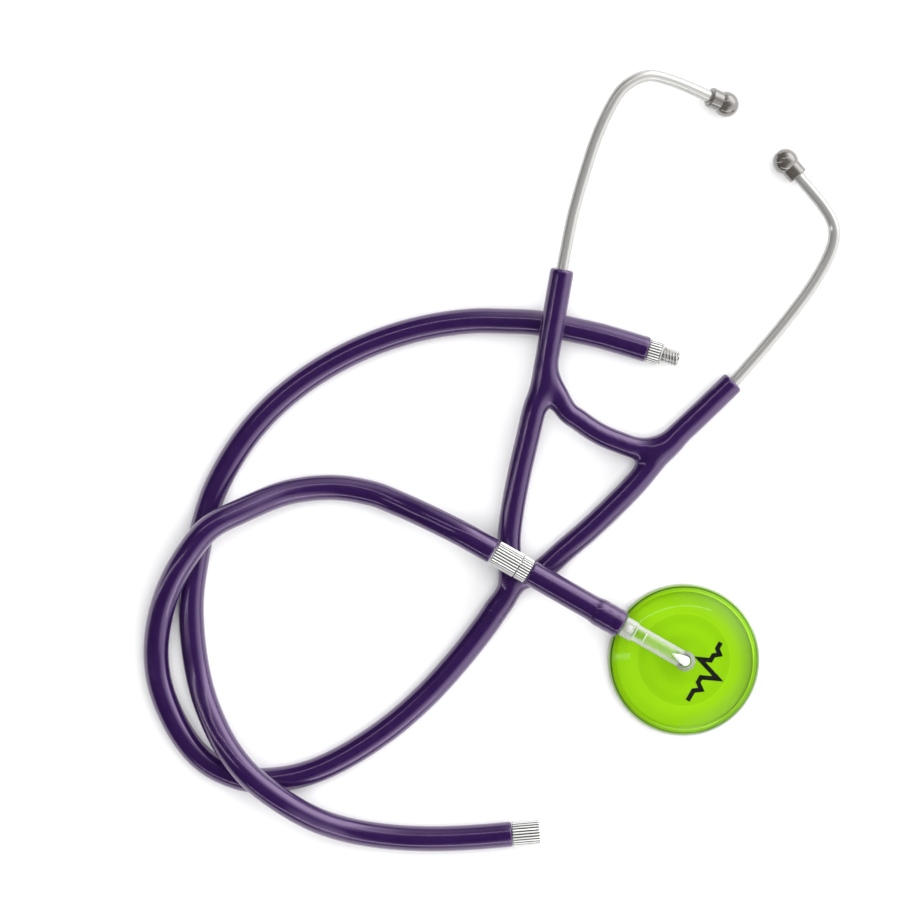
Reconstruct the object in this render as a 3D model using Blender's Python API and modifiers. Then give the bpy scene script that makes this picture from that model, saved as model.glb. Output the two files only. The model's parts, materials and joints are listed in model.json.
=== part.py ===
"""A stethoscope with a threaded extension hose, laid out on a table.

Metres, +Z up. The origin is the middle of the diaphragm's face, on the table."""

import math

import bmesh
import bpy
from mathutils import Vector

MM = 0.001
GAP = 0.3 * MM  # between pieces that seat on each other

# Hoses and rubber arms
HOSE_RADIUS = 5.1 * MM
HOSE_BORE_RADIUS = 2.6 * MM
HOSE_POINT_SPACING = 20.4 * MM
ARM_RADIUS = 4.8 * MM
ARM_EDGE = 1.2 * MM
ARM_SWING_IN = math.radians(4.0)
CROSSBAR_RADIUS = 4.45 * MM
AIR_RADIUS = 1.8 * MM

# Headset: a plane tilted up towards the left arm, and what lies in it
YOKE_FOOT = Vector((-69.6, 28.0, 5.5)) * MM
TILT_TOWARDS = Vector((-0.6735, 0.7392, 0.0)).normalized()
HEADSET_TILT = math.radians(9.13)
LEFT_HINGE = (-56.8, 110.0)
LEFT_ARM_TOP = (-48.9, 156.0)
RIGHT_HINGE = (-6.8, 85.6)
RIGHT_ARM_TOP = (19.9, 111.4)
YOKE_JOIN = (-69.5, 31.0)
YOKE_STUB = [(-71.4, 25.4), (-74.4, 21.2)]
LEFT_LOWER_ARM = [(-60.0, 100.1), (-62.8, 88.1), (-66.0, 74.1), (-68.6, 60.0), (-70.0, 47.4)]
RIGHT_LOWER_ARM = [(-18.8, 71.2), (-28.2, 61.5), (-38.1, 52.1), (-48.0, 43.6), (-55.6, 36.8),
                   (-62.5, 32.6)]
CROSSBAR = [(-48.1, 101.2), (-41.8, 95.7), (-34.1, 90.6), (-26.0, 87.1), (-17.6, 84.7)]
YOKE_POINT_SPACING = 9.0 * MM

# Leaf spring inside the cross bar
SPRING_HEIGHT = 4.0 * MM
SPRING_THICKNESS = 0.9 * MM
SPRING_END_MARGIN = 8.0 * MM  # from each arm's hinge
SPRING_POINT_SPACING = 3.0 * MM

# Ear tubes, which turn in the arms
EAR_TUBE_RADIUS = 2.4 * MM
EAR_TUBE_WALL = 0.6 * MM
EAR_TUBE_GRIP = 20.0 * MM
EAR_TUBE_RUN_OUT = 3.0 * MM
EAR_TUBE_POINT_SPACING = 6.5 * MM
LEFT_EAR_TUBE = [(-44.8, 177.0), (-40.0, 194.2), (-34.6, 210.2), (-27.6, 224.2), (-21.6, 230.3),
                 (-14.0, 233.0), (-5.0, 231.2), (2.7, 228.4)]
LEFT_TIP_SEAT = (10.1, 225.3)
RIGHT_EAR_TUBE = [(32.3, 125.2), (42.0, 137.0), (50.2, 148.0), (55.7, 156.9), (59.2, 164.5),
                  (60.4, 170.7), (59.2, 176.2), (55.7, 182.0), (50.8, 188.0)]
RIGHT_TIP_SEAT = (46.0, 193.5)

# Ear tips, which pull off the ear tubes
TIP_BASE_RADIUS = 4.15 * MM
TIP_BASE_EDGE = 0.6 * MM
TIP_BULB_RADIUS = 5.2 * MM
TIP_BULB_DISTANCE = 8.0 * MM  # from the base's face to the middle of the bulb
TIP_MOUTH_RADIUS = 1.5 * MM
TIP_GRIP = 5.5 * MM
TIP_TABLE_GAP = 0.4 * MM

# Threaded unions
SOCKET_RADIUS = 5.1 * MM
SOCKET_LENGTH = 10.8 * MM
COLLAR_RADIUS = 4.9 * MM
COLLAR_LENGTH = 4.6 * MM
SPIGOT_RADIUS = 3.25 * MM
SPIGOT_LENGTH = 8.0 * MM
SPIGOT_CHAMFER = 0.6 * MM
UNION_BORE_RADIUS = 1.2 * MM
UNION_EDGE = 0.5 * MM
SHANK_LENGTH = 8.0 * MM
SEAL_THICKNESS = 0.7 * MM

# Chestpiece stem, its axis level above the head and in line with the union over the yoke
UNION_CLEARANCE = 2.2 * MM
STEM_HEIGHT = YOKE_FOOT.z + ARM_RADIUS + UNION_CLEARANCE + SOCKET_RADIUS
STEM_TOWARDS_UNION = Vector((-0.8686, 0.4956, 0.0)).normalized()
STEM_REACH = 28.8 * MM  # from the middle of the ball to the hose
STEM_RADIUS = 3.5 * MM
STEM_BORE_RADIUS = 1.6 * MM
BALL_RADIUS = 4.1 * MM
STEM_COLLAR_RADIUS = 4.1 * MM
STEM_COLLAR_LENGTH = 5.4 * MM
NECK_RADIUS = 2.5 * MM
BARB_ROOT_RADIUS = 2.3 * MM
BARB_RIDGE_RADIUS = 3.0 * MM
BARB_PITCH = 4.0 * MM
BARB_COUNT = 3
BARB_LIP = 0.8 * MM
CHEST_HOSE_LENGTH = 42.7 * MM
HOSE_BULGE = 0.75 * MM  # over each barb
BULGE_DIP = 0.6  # the share of the bulge that is left between barbs
HOSE_EDGE = 0.8 * MM

# Chestpiece head, from the table up
RING_RADIUS = 30.4 * MM
RING_WALL = 1.1 * MM
RING_HEIGHT = 6.0 * MM
RING_LIP = 0.6 * MM
RING_LIP_RADIUS = 25.3 * MM
RING_RAISE = 0.3 * MM
DIAPHRAGM_THICKNESS = 0.5 * MM
DIAPHRAGM_STEP = 0.6 * MM
BELL_HEIGHT = 3.9 * MM
BELL_CAVITY_RADIUS = 25.0 * MM
BELL_HUB_RADIUS = 6.0 * MM
BELL_HUB_THICKNESS = 1.3 * MM
PRINT_THICKNESS = 0.6 * MM
BALL_CLEARANCE = 0.4 * MM
LENS_TOP = STEM_HEIGHT - BALL_RADIUS - BALL_CLEARANCE
LENS_FLAT_RADIUS = 18.7 * MM
LENS_SHOULDER = 9.4 * MM
LENS_EDGE = 0.7 * MM
LENS_SKIRT_WALL = 1.2 * MM
LENS_DOME_POWER = 1.6

# Routes of the two free hoses, in millimetres, on the table apart from where they cross
MAIN_ROUTE = [
    (-74.8, 20.6, 5.2), (-80.2, 12.8, 5.3), (-90.8, -0.6, 5.3), (-103.4, -14.4, 5.3),
    (-118.4, -27.5, 5.3), (-136.0, -39.0, 5.3), (-152.4, -46.0, 5.3), (-169.6, -48.4, 5.3),
    (-182.4, -45.6, 5.3), (-193.6, -38.8, 5.3), (-202.6, -27.2, 5.3), (-209.2, -12.0, 5.3),
    (-211.3, 2.0, 5.6), (-209.8, 16.0, 8.3), (-205.6, 29.2, 12.7), (-198.8, 41.6, 16.3),
    (-189.6, 52.8, 16.7), (-177.0, 59.6, 13.6), (-159.4, 66.8, 7.7), (-141.6, 69.0, 5.3),
    (-125.6, 66.8, 5.4), (-113.6, 62.3, 8.0), (-101.6, 56.9, 12.9), (-89.6, 51.0, 16.9),
    (-82.9, 47.3, 17.6), (-76.35, 43.56, 17.6),
]
EXTENSION_ROUTE = [
    (-14.4, 124.1, 5.3), (-24.0, 127.0, 5.3), (-33.8, 129.8, 5.3), (-43.7, 132.0, 5.3),
    (-57.6, 134.8, 5.3), (-71.6, 135.6, 5.3), (-85.6, 135.6, 5.3), (-101.8, 133.4, 5.3),
    (-118.1, 129.0, 5.3), (-134.5, 122.2, 5.3), (-151.1, 112.4, 5.3), (-165.6, 100.4, 5.3),
    (-177.3, 86.5, 5.3), (-186.9, 69.9, 5.3), (-192.0, 55.2, 5.3), (-195.2, 40.0, 5.3),
    (-197.2, 24.0, 5.3), (-196.6, 8.0, 5.3), (-194.0, -8.0, 5.9), (-189.8, -20.8, 9.0),
    (-182.8, -34.3, 13.9), (-173.6, -45.6, 16.8), (-161.6, -55.2, 15.9), (-148.1, -63.2, 11.5),
    (-134.0, -68.2, 7.0), (-117.8, -70.9, 5.3), (-101.6, -71.7, 5.3), (-85.6, -71.2, 5.3),
    (-68.8, -69.85, 5.3),
]

# Sides of round pieces
HEAD_SIDES = 40
ROUND_SIDES = 16
TUBE_SIDES = 10
BORE_SIDES = 12
CURVE_STEPS = 12
ARC_STEPS = 5
MID_ROUND = 0.3  # the share of an edge's radius that is cut off half way round it


def clear_scene():
    for obj in list(bpy.data.objects):
        bpy.data.objects.remove(obj, do_unlink=True)


def collection(name, hidden=False):
    made = bpy.data.collections.new(name)
    made.hide_render = hidden
    bpy.context.scene.collection.children.link(made)
    return made


clear_scene()
PARTS = collection("stethoscope")
CUTTERS = collection("cutters", hidden=True)


def look(name, colour, roughness, metallic=0.0, transmission=0.0):
    made = bpy.data.materials.new(name)
    made.use_nodes = True
    made.diffuse_color = (*colour, 1.0)
    shader = made.node_tree.nodes["Principled BSDF"]
    shader.inputs["Base Color"].default_value = (*colour, 1.0)
    shader.inputs["Roughness"].default_value = roughness
    shader.inputs["Metallic"].default_value = metallic
    shader.inputs["Transmission Weight"].default_value = transmission
    return made


HOSE = look("purple_hose", (0.033, 0.010, 0.082), 0.22)
CHROME = look("chrome", (0.75, 0.75, 0.76), 0.08, metallic=1.0)
STEEL = look("spring_steel", (0.45, 0.45, 0.46), 0.35, metallic=1.0)
SOFT_GREY = look("soft_grey", (0.114, 0.100, 0.087), 0.25, transmission=0.4)
SEAL = look("black_seal", (0.010, 0.010, 0.011), 0.55)
CLEAR = look("clear_acrylic", (0.95, 0.97, 0.96), 0.03, transmission=1.0)
GREEN = look("green_print", (0.292, 0.624, 0.003), 0.45)
BELL = look("bell_plastic", (0.258, 0.571, 0.002), 0.4)
FILM = look("diaphragm_film", (0.72, 0.74, 0.72), 0.3)


def place(obj, material, cutter=False):
    if cutter:
        CUTTERS.objects.link(obj)
        obj.hide_render = True
        obj.display_type = "WIRE"
    else:
        PARTS.objects.link(obj)
        obj.data.materials.append(material)
    return obj


def stand_on(obj, origin, axis):
    """Puts the object's origin at a point, with its own Z along an axis."""
    obj.rotation_mode = "QUATERNION"
    obj.location = origin
    obj.rotation_quaternion = Vector(axis).to_track_quat("Z", "Y")


def turned(name, profile, origin, axis, material, sides=ROUND_SIDES, cutter=False):
    """A profile of (radius, height) points, down the outer side, turned about the axis from the origin."""
    mesh = bpy.data.meshes.new(name)
    edges = [(i, i + 1) for i in range(len(profile) - 1)]
    if profile[0][0] > 0.0:
        edges.append((len(profile) - 1, 0))
    mesh.from_pydata([(radius, 0.0, height) for radius, height in profile], edges, [])
    obj = place(bpy.data.objects.new(name, mesh), material, cutter)
    screw = obj.modifiers.new("turn", "SCREW")
    screw.angle = 2.0 * math.pi
    screw.steps = sides
    screw.render_steps = sides
    screw.use_merge_vertices = True
    screw.merge_threshold = 0.00001
    screw.use_smooth_shade = True
    stand_on(obj, origin, axis)
    return obj


def arc(centre_height, radius, from_degrees, to_degrees, steps=ARC_STEPS):
    """Profile points on a circle about the axis point at a height, by angle above the level."""
    angles = [math.radians(from_degrees + (to_degrees - from_degrees) * i / steps) for i in range(steps + 1)]
    return [(radius * math.cos(a), centre_height + radius * math.sin(a)) for a in angles]


def smooth_path(points, spacing):
    """Evenly spaced points along a Catmull-Rom curve through the given ones."""
    ends = [2 * points[0] - points[1], *points, 2 * points[-1] - points[-2]]
    fine = []
    for i in range(len(points) - 1):
        a, b, c, d = ends[i : i + 4]
        for step in range(CURVE_STEPS):
            t = step / CURVE_STEPS
            bend = 2 * a - 5 * b + 4 * c - d
            twist = 3 * b - a - 3 * c + d
            fine.append(0.5 * (2 * b + (c - a) * t + bend * t**2 + twist * t**3))
    fine.append(points[-1])
    lengths = [0.0]
    for a, b in zip(fine, fine[1:]):
        lengths.append(lengths[-1] + (b - a).length)
    count = max(2, round(lengths[-1] / spacing))
    path = []
    place_in = 0
    for step in range(count):
        wanted = lengths[-1] * step / count
        while lengths[place_in + 1] < wanted:
            place_in += 1
        share = (wanted - lengths[place_in]) / (lengths[place_in + 1] - lengths[place_in])
        path.append(fine[place_in].lerp(fine[place_in + 1], share))
    return [*path, fine[-1]]


def tube(name, path, radius, material, origin=(0.0, 0.0, 0.0), wall=None, tilt=0.0, cutter=False):
    """A round bar along a path or, with a wall, a pipe that is open at both ends."""
    curve = bpy.data.curves.new(name, "CURVE")
    curve.dimensions = "3D"
    curve.bevel_depth = radius
    curve.bevel_resolution = TUBE_SIDES // 2 - 2
    curve.use_fill_caps = wall is None
    spline = curve.splines.new("POLY")
    spline.points.add(len(path) - 1)
    for point, at in zip(spline.points, path):
        point.co = (*(at - Vector(origin)), 1.0)
        point.tilt = tilt
    obj = place(bpy.data.objects.new(name, curve), material, cutter)
    obj.location = origin
    if wall is not None:
        solidify = obj.modifiers.new("wall", "SOLIDIFY")
        solidify.thickness = wall
        solidify.offset = -1.0
    return obj


def meshed(curve_object, material, cutter=False):
    """The curve as a closed mesh that a Boolean can use, in the curve's place."""
    bpy.context.view_layer.update()
    graph = bpy.context.evaluated_depsgraph_get()
    mesh = bpy.data.meshes.new_from_object(curve_object.evaluated_get(graph))
    welded = bmesh.new()
    welded.from_mesh(mesh)
    bmesh.ops.remove_doubles(welded, verts=welded.verts, dist=0.000001)
    bmesh.ops.recalc_face_normals(welded, faces=welded.faces)
    welded.to_mesh(mesh)
    welded.free()
    mesh.materials.clear()
    name = curve_object.name
    matrix = curve_object.matrix_world.copy()
    bpy.data.objects.remove(curve_object, do_unlink=True)
    obj = place(bpy.data.objects.new(name, mesh), material, cutter)
    obj.matrix_world = matrix
    return obj


def combine(target, other, operation):
    boolean = target.modifiers.new(other.name, "BOOLEAN")
    boolean.operation = operation
    boolean.object = other
    boolean.solver = "EXACT"


def arm_room(name, hinge, top):
    """The space that an arm's ball and the start of its sleeve need, with its swing inwards."""
    radius = ARM_RADIUS + GAP
    reach = 2 * ARM_RADIUS
    profile = [
        (0.0, reach),
        (radius + reach * math.tan(ARM_SWING_IN), reach),
        *arc(0.0, radius, 0.0, -90.0)[:-1],
        (0.0, -radius),
    ]
    return turned(name, profile, hinge, top - hinge, None, cutter=True)


def on_headset(plan):
    """The point of the headset's plane over a table point given in millimetres."""
    x, y = plan[0] * MM, plan[1] * MM
    along = (x - YOKE_FOOT.x) * TILT_TOWARDS.x + (y - YOKE_FOOT.y) * TILT_TOWARDS.y
    return Vector((x, y, YOKE_FOOT.z + along * math.tan(HEADSET_TILT)))


HEADSET_NORMAL = Vector((0.0, 0.0, math.cos(HEADSET_TILT))) - TILT_TOWARDS * math.sin(HEADSET_TILT)


def yoke():
    """The moulded Y with its cross bar. Each end at an arm is a hollow that the arm's ball sits in."""
    left = [on_headset(p) for p in (LEFT_HINGE, *LEFT_LOWER_ARM, YOKE_JOIN, *YOKE_STUB)]
    right = [on_headset(p) for p in (RIGHT_HINGE, *RIGHT_LOWER_ARM, YOKE_JOIN)]
    bar = [on_headset(p) for p in (LEFT_HINGE, *CROSSBAR, RIGHT_HINGE)]
    left_path = smooth_path(left, YOKE_POINT_SPACING)
    right_path = smooth_path(right, YOKE_POINT_SPACING)
    bar_path = smooth_path(bar, YOKE_POINT_SPACING)
    half_side = math.pi / TUBE_SIDES
    body = meshed(tube("yoke", left_path, ARM_RADIUS, HOSE), HOSE)
    for name, path, radius, tilt in (
        ("right_lower_arm", right_path, ARM_RADIUS, half_side),
        ("crossbar", bar_path, CROSSBAR_RADIUS, 0.0),
    ):
        joined = meshed(tube(name, path, radius, None, tilt=tilt, cutter=True), None, cutter=True)
        combine(body, joined, "UNION")
    stub = (left_path[-1] - left_path[-2]).normalized()
    past_stub = [*left_path, left_path[-1] + stub * ARM_RADIUS]
    for name, path in (("left_air", past_stub), ("right_air", right_path)):
        cutter = meshed(tube(name, path, AIR_RADIUS, None, cutter=True), None, cutter=True)
        combine(body, cutter, "DIFFERENCE")
    slot_path = between_hinges(bar, ARM_RADIUS / 2)
    slot_height = SPRING_HEIGHT + 2 * GAP
    slot_width = SPRING_THICKNESS + 2 * GAP
    slot = ribbon("spring_slot", slot_path, slot_height, slot_width, None, cutter=True)
    combine(body, slot, "DIFFERENCE")
    arms = (("left_room", LEFT_HINGE, LEFT_ARM_TOP), ("right_room", RIGHT_HINGE, RIGHT_ARM_TOP))
    for name, hinge, top in arms:
        combine(body, arm_room(name, on_headset(hinge), on_headset(top)), "DIFFERENCE")
    ribbon("leaf_spring", between_hinges(bar, SPRING_END_MARGIN), SPRING_HEIGHT, SPRING_THICKNESS, STEEL)


def between_hinges(route, margin):
    """The part of a path through the route that keeps a distance from both of its ends."""
    path = smooth_path(route, SPRING_POINT_SPACING)
    return [p for p in path if (p - route[0]).length > margin and (p - route[-1]).length > margin]


def ribbon(name, path, height, thickness, material, cutter=False):
    """A flat strip on edge along a path in the headset's plane."""
    mesh = bpy.data.meshes.new(name)
    half = HEADSET_NORMAL * height / 2
    corners = [p + side for p in path for side in (-half, half)]
    faces = [(2 * i, 2 * i + 2, 2 * i + 3, 2 * i + 1) for i in range(len(path) - 1)]
    mesh.from_pydata(corners, [], faces)
    obj = place(bpy.data.objects.new(name, mesh), material, cutter)
    solidify = obj.modifiers.new("thickness", "SOLIDIFY")
    solidify.thickness = thickness
    solidify.offset = 0.0
    return obj


def arm(name, hinge, top):
    """A rubber arm: a ball at the hinge, a sleeve that grips the ear tube, and the air passage between."""
    length = (top - hinge).length
    grip_bottom = length - EAR_TUBE_GRIP - GAP
    sleeve_bore = EAR_TUBE_RADIUS + GAP
    ball_end = math.degrees(math.acos(AIR_RADIUS / ARM_RADIUS))
    profile = [
        (sleeve_bore, length),
        (ARM_RADIUS - ARM_EDGE, length),
        (ARM_RADIUS - ARM_EDGE * MID_ROUND, length - ARM_EDGE * MID_ROUND),
        (ARM_RADIUS, length - ARM_EDGE),
        *arc(0.0, ARM_RADIUS, 0.0, -ball_end),
        (AIR_RADIUS, grip_bottom),
        (sleeve_bore, grip_bottom),
    ]
    turned(name, profile, hinge, top - hinge, HOSE)


def ear_side(side, hinge_plan, top_plan, tube_plan, seat_plan):
    """One arm with its ear tube and ear tip. The bent tube lies in a plane through arm and resting tip."""
    hinge, top = on_headset(hinge_plan), on_headset(top_plan)
    sleeve = (top - hinge).normalized()
    last, seat = Vector(tube_plan[-1]), Vector(seat_plan)
    tip_plan = seat + (seat - last).normalized() * TIP_BULB_DISTANCE / MM
    tip = Vector((*tip_plan * MM, TIP_BULB_RADIUS + TIP_TABLE_GAP))
    normal = (top - hinge).cross(tip - hinge)

    def in_plane(plan):
        x, y = plan[0] * MM, plan[1] * MM
        return Vector((x, y, hinge.z - (normal.x * (x - hinge.x) + normal.y * (y - hinge.y)) / normal.z))

    seat_point = in_plane(seat_plan)
    tip_axis = (seat_point - in_plane(tube_plan[-1])).normalized()
    route = [
        top - sleeve * EAR_TUBE_GRIP,
        top - sleeve * EAR_TUBE_GRIP / 2,
        top,
        top + sleeve * EAR_TUBE_RUN_OUT,
        *[in_plane(p) for p in tube_plan],
        seat_point,
        seat_point + tip_axis * TIP_GRIP,
    ]
    arm(f"{side}_arm", hinge, top)
    path = smooth_path(route, EAR_TUBE_POINT_SPACING)
    tube(f"{side}_ear_tube", path, EAR_TUBE_RADIUS, CHROME, origin=top, wall=EAR_TUBE_WALL)
    ear_tip(f"{side}_ear_tip", seat_point, tip_axis)


def ear_tip(name, seat, axis):
    mouth = math.degrees(math.acos(TIP_MOUTH_RADIUS / TIP_BULB_RADIUS))
    neck = math.degrees(math.acos(TIP_BASE_RADIUS / TIP_BULB_RADIUS))
    bore = EAR_TUBE_RADIUS + GAP
    profile = [
        *arc(TIP_BULB_DISTANCE, TIP_BULB_RADIUS, mouth, -neck, steps=2 * ARC_STEPS),
        (TIP_BASE_RADIUS, TIP_BASE_EDGE),
        (TIP_BASE_RADIUS - TIP_BASE_EDGE, 0.0),
        (bore, 0.0),
        (bore, TIP_GRIP + GAP),
        (TIP_MOUTH_RADIUS, TIP_GRIP + GAP),
    ]
    turned(name, profile, seat, axis, SOFT_GREY)


def socket(name, mouth, outwards):
    """The female half of a union. Its own height 0 is the mouth, and it reaches back from there."""
    bore = SPIGOT_RADIUS + GAP
    seal_seat = bore + SEAL_THICKNESS + GAP
    profile = [
        (seal_seat, 0.0),
        (SOCKET_RADIUS - UNION_EDGE / 2, 0.0),
        (SOCKET_RADIUS, -UNION_EDGE / 2),
        (SOCKET_RADIUS, UNION_EDGE - SOCKET_LENGTH),
        (SOCKET_RADIUS - UNION_EDGE, -SOCKET_LENGTH),
        (UNION_BORE_RADIUS, -SOCKET_LENGTH),
        (UNION_BORE_RADIUS, -SPIGOT_LENGTH - GAP),
        (bore, -SPIGOT_LENGTH - GAP),
        (bore, -SEAL_THICKNESS - GAP),
        (seal_seat, -SEAL_THICKNESS - GAP),
    ]
    turned(name, profile, mouth, outwards, CHROME)


def plug(name, seal_name, face, towards_socket, shank):
    """The male half of a union with its seal. Its own height 0 is the collar's face that meets the socket."""
    back = [(COLLAR_RADIUS - UNION_EDGE, -COLLAR_LENGTH)]
    end = -COLLAR_LENGTH
    if shank:
        shank_radius = HOSE_BORE_RADIUS - GAP
        end = -COLLAR_LENGTH - SHANK_LENGTH
        back += [(shank_radius, -COLLAR_LENGTH), (shank_radius, end)]
    profile = [
        (UNION_BORE_RADIUS, SPIGOT_LENGTH),
        (SPIGOT_RADIUS - SPIGOT_CHAMFER, SPIGOT_LENGTH),
        (SPIGOT_RADIUS, SPIGOT_LENGTH - SPIGOT_CHAMFER),
        (SPIGOT_RADIUS, 0.0),
        (COLLAR_RADIUS - UNION_EDGE / 2, 0.0),
        (COLLAR_RADIUS, -UNION_EDGE / 2),
        (COLLAR_RADIUS, UNION_EDGE - COLLAR_LENGTH),
        *back,
        (UNION_BORE_RADIUS, end),
    ]
    turned(name, profile, face, towards_socket, CHROME)
    ring_radius = SPIGOT_RADIUS + GAP + SEAL_THICKNESS / 2
    circle = arc(0.0, SEAL_THICKNESS / 2, 90.0, -270.0, steps=ARC_STEPS + 1)[:-1]
    ring = [(ring_radius + radius, GAP + SEAL_THICKNESS / 2 + height) for radius, height in circle]
    turned(seal_name, ring, face, towards_socket, SEAL)


def along_stem(distance):
    return Vector((0.0, 0.0, STEM_HEIGHT)) + STEM_TOWARDS_UNION * distance


def barb_heights():
    """Where each barb's ridge stands along the stem, from the hose's end inwards."""
    return [STEM_REACH + BARB_PITCH * i + BARB_LIP for i in range(BARB_COUNT)]


def stem():
    """The clear stem: barbs, collar and ball about the level axis, and the neck down into the head."""
    collar_end = STEM_REACH - GAP
    profile = [(0.0, STEM_REACH + BARB_PITCH * BARB_COUNT)]
    for ridge in reversed(barb_heights()):
        profile += [
            (BARB_ROOT_RADIUS, ridge - BARB_LIP + BARB_PITCH),
            (BARB_RIDGE_RADIUS, ridge),
            (BARB_ROOT_RADIUS, ridge - BARB_LIP / 2),
        ]
    ball_start = math.degrees(math.acos(STEM_RADIUS / BALL_RADIUS))
    profile += [
        (BARB_ROOT_RADIUS, collar_end),
        (STEM_COLLAR_RADIUS, collar_end),
        (STEM_COLLAR_RADIUS, collar_end - STEM_COLLAR_LENGTH),
        (STEM_RADIUS, collar_end - STEM_COLLAR_LENGTH),
        *arc(0.0, BALL_RADIUS, ball_start, -90.0, steps=ARC_STEPS + 3)[:-1],
        (0.0, -BALL_RADIUS),
    ]
    body = turned("stem", profile, along_stem(0.0), STEM_TOWARDS_UNION, CLEAR)
    neck_bottom = LAYERS["bell_top"] - BELL_HUB_THICKNESS + GAP
    neck = [(0.0, STEM_HEIGHT), (NECK_RADIUS, STEM_HEIGHT), (NECK_RADIUS, neck_bottom), (0.0, neck_bottom)]
    down_bore = [
        (0.0, STEM_HEIGHT),
        (STEM_BORE_RADIUS, STEM_HEIGHT),
        (STEM_BORE_RADIUS, neck_bottom - NECK_RADIUS),
        (0.0, neck_bottom - NECK_RADIUS),
    ]
    bore_end = STEM_REACH + BARB_PITCH * (BARB_COUNT + 1)
    level_bore = [
        (0.0, bore_end),
        (STEM_BORE_RADIUS, bore_end),
        (STEM_BORE_RADIUS, 0.0),
        (0.0, -STEM_BORE_RADIUS),
    ]
    up = Vector((0.0, 0.0, 1.0))
    table = Vector((0.0, 0.0, 0.0))
    combine(body, turned("neck", neck, table, up, None, cutter=True), "UNION")
    down = turned("down_bore", down_bore, table, up, None, sides=BORE_SIDES, cutter=True)
    combine(body, down, "DIFFERENCE")
    sides = BORE_SIDES + 2
    level = turned(
        "level_bore", level_bore, along_stem(0.0), STEM_TOWARDS_UNION, None, sides=sides, cutter=True
    )
    combine(body, level, "DIFFERENCE")


def chest_tube():
    """The short hose between the stem's barbs and the union's shank."""
    far = STEM_REACH + CHEST_HOSE_LENGTH - GAP
    barb_bore = BARB_RIDGE_RADIUS + GAP
    barb_room = STEM_REACH + BARB_PITCH * BARB_COUNT + GAP
    profile = [
        (HOSE_BORE_RADIUS, far),
        (HOSE_RADIUS - HOSE_EDGE, far),
        (HOSE_RADIUS, far - HOSE_EDGE),
        (HOSE_RADIUS, barb_room + BARB_PITCH),
    ]
    for ridge in reversed(barb_heights()):
        profile += [
            (HOSE_RADIUS + HOSE_BULGE * BULGE_DIP, ridge + BARB_PITCH / 2),
            (HOSE_RADIUS + HOSE_BULGE, ridge),
        ]
    profile += [
        (HOSE_RADIUS, STEM_REACH),
        (barb_bore, STEM_REACH),
        (barb_bore, barb_room),
        (HOSE_BORE_RADIUS, barb_room),
    ]
    turned("chest_tube", profile, along_stem(0.0), STEM_TOWARDS_UNION, HOSE)


def union():
    """The union that joins the chest hose to the main hose, along the stem's axis."""
    face = STEM_REACH + CHEST_HOSE_LENGTH + COLLAR_LENGTH
    plug("chest_plug", "union_seal", along_stem(face), STEM_TOWARDS_UNION, shank=True)
    socket("main_socket", along_stem(face + GAP), -STEM_TOWARDS_UNION)


def layer_heights():
    """The head's levels over the table, each resting on the one below with a gap."""
    flange = RING_RAISE + RING_LIP + GAP
    skirt = flange + DIAPHRAGM_THICKNESS + GAP
    bell_top = skirt + BELL_HEIGHT
    disc = bell_top + GAP
    recess = disc + PRINT_THICKNESS + GAP
    return {"flange": flange, "skirt": skirt, "bell_top": bell_top, "disc": disc, "recess": recess}


LAYERS = layer_heights()
LENS_RADIUS = RING_RADIUS - RING_WALL - GAP
RECESS_RADIUS = LENS_RADIUS - LENS_SKIRT_WALL
NECK_HOLE_RADIUS = NECK_RADIUS + GAP


def dome_point(share):
    """A point of the lens between its flat top and its shoulder."""
    width = LENS_RADIUS - LENS_EDGE - LENS_FLAT_RADIUS
    drop = LENS_TOP - LENS_SHOULDER
    return (LENS_FLAT_RADIUS + width * share, LENS_TOP - drop * share**LENS_DOME_POWER)


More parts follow.
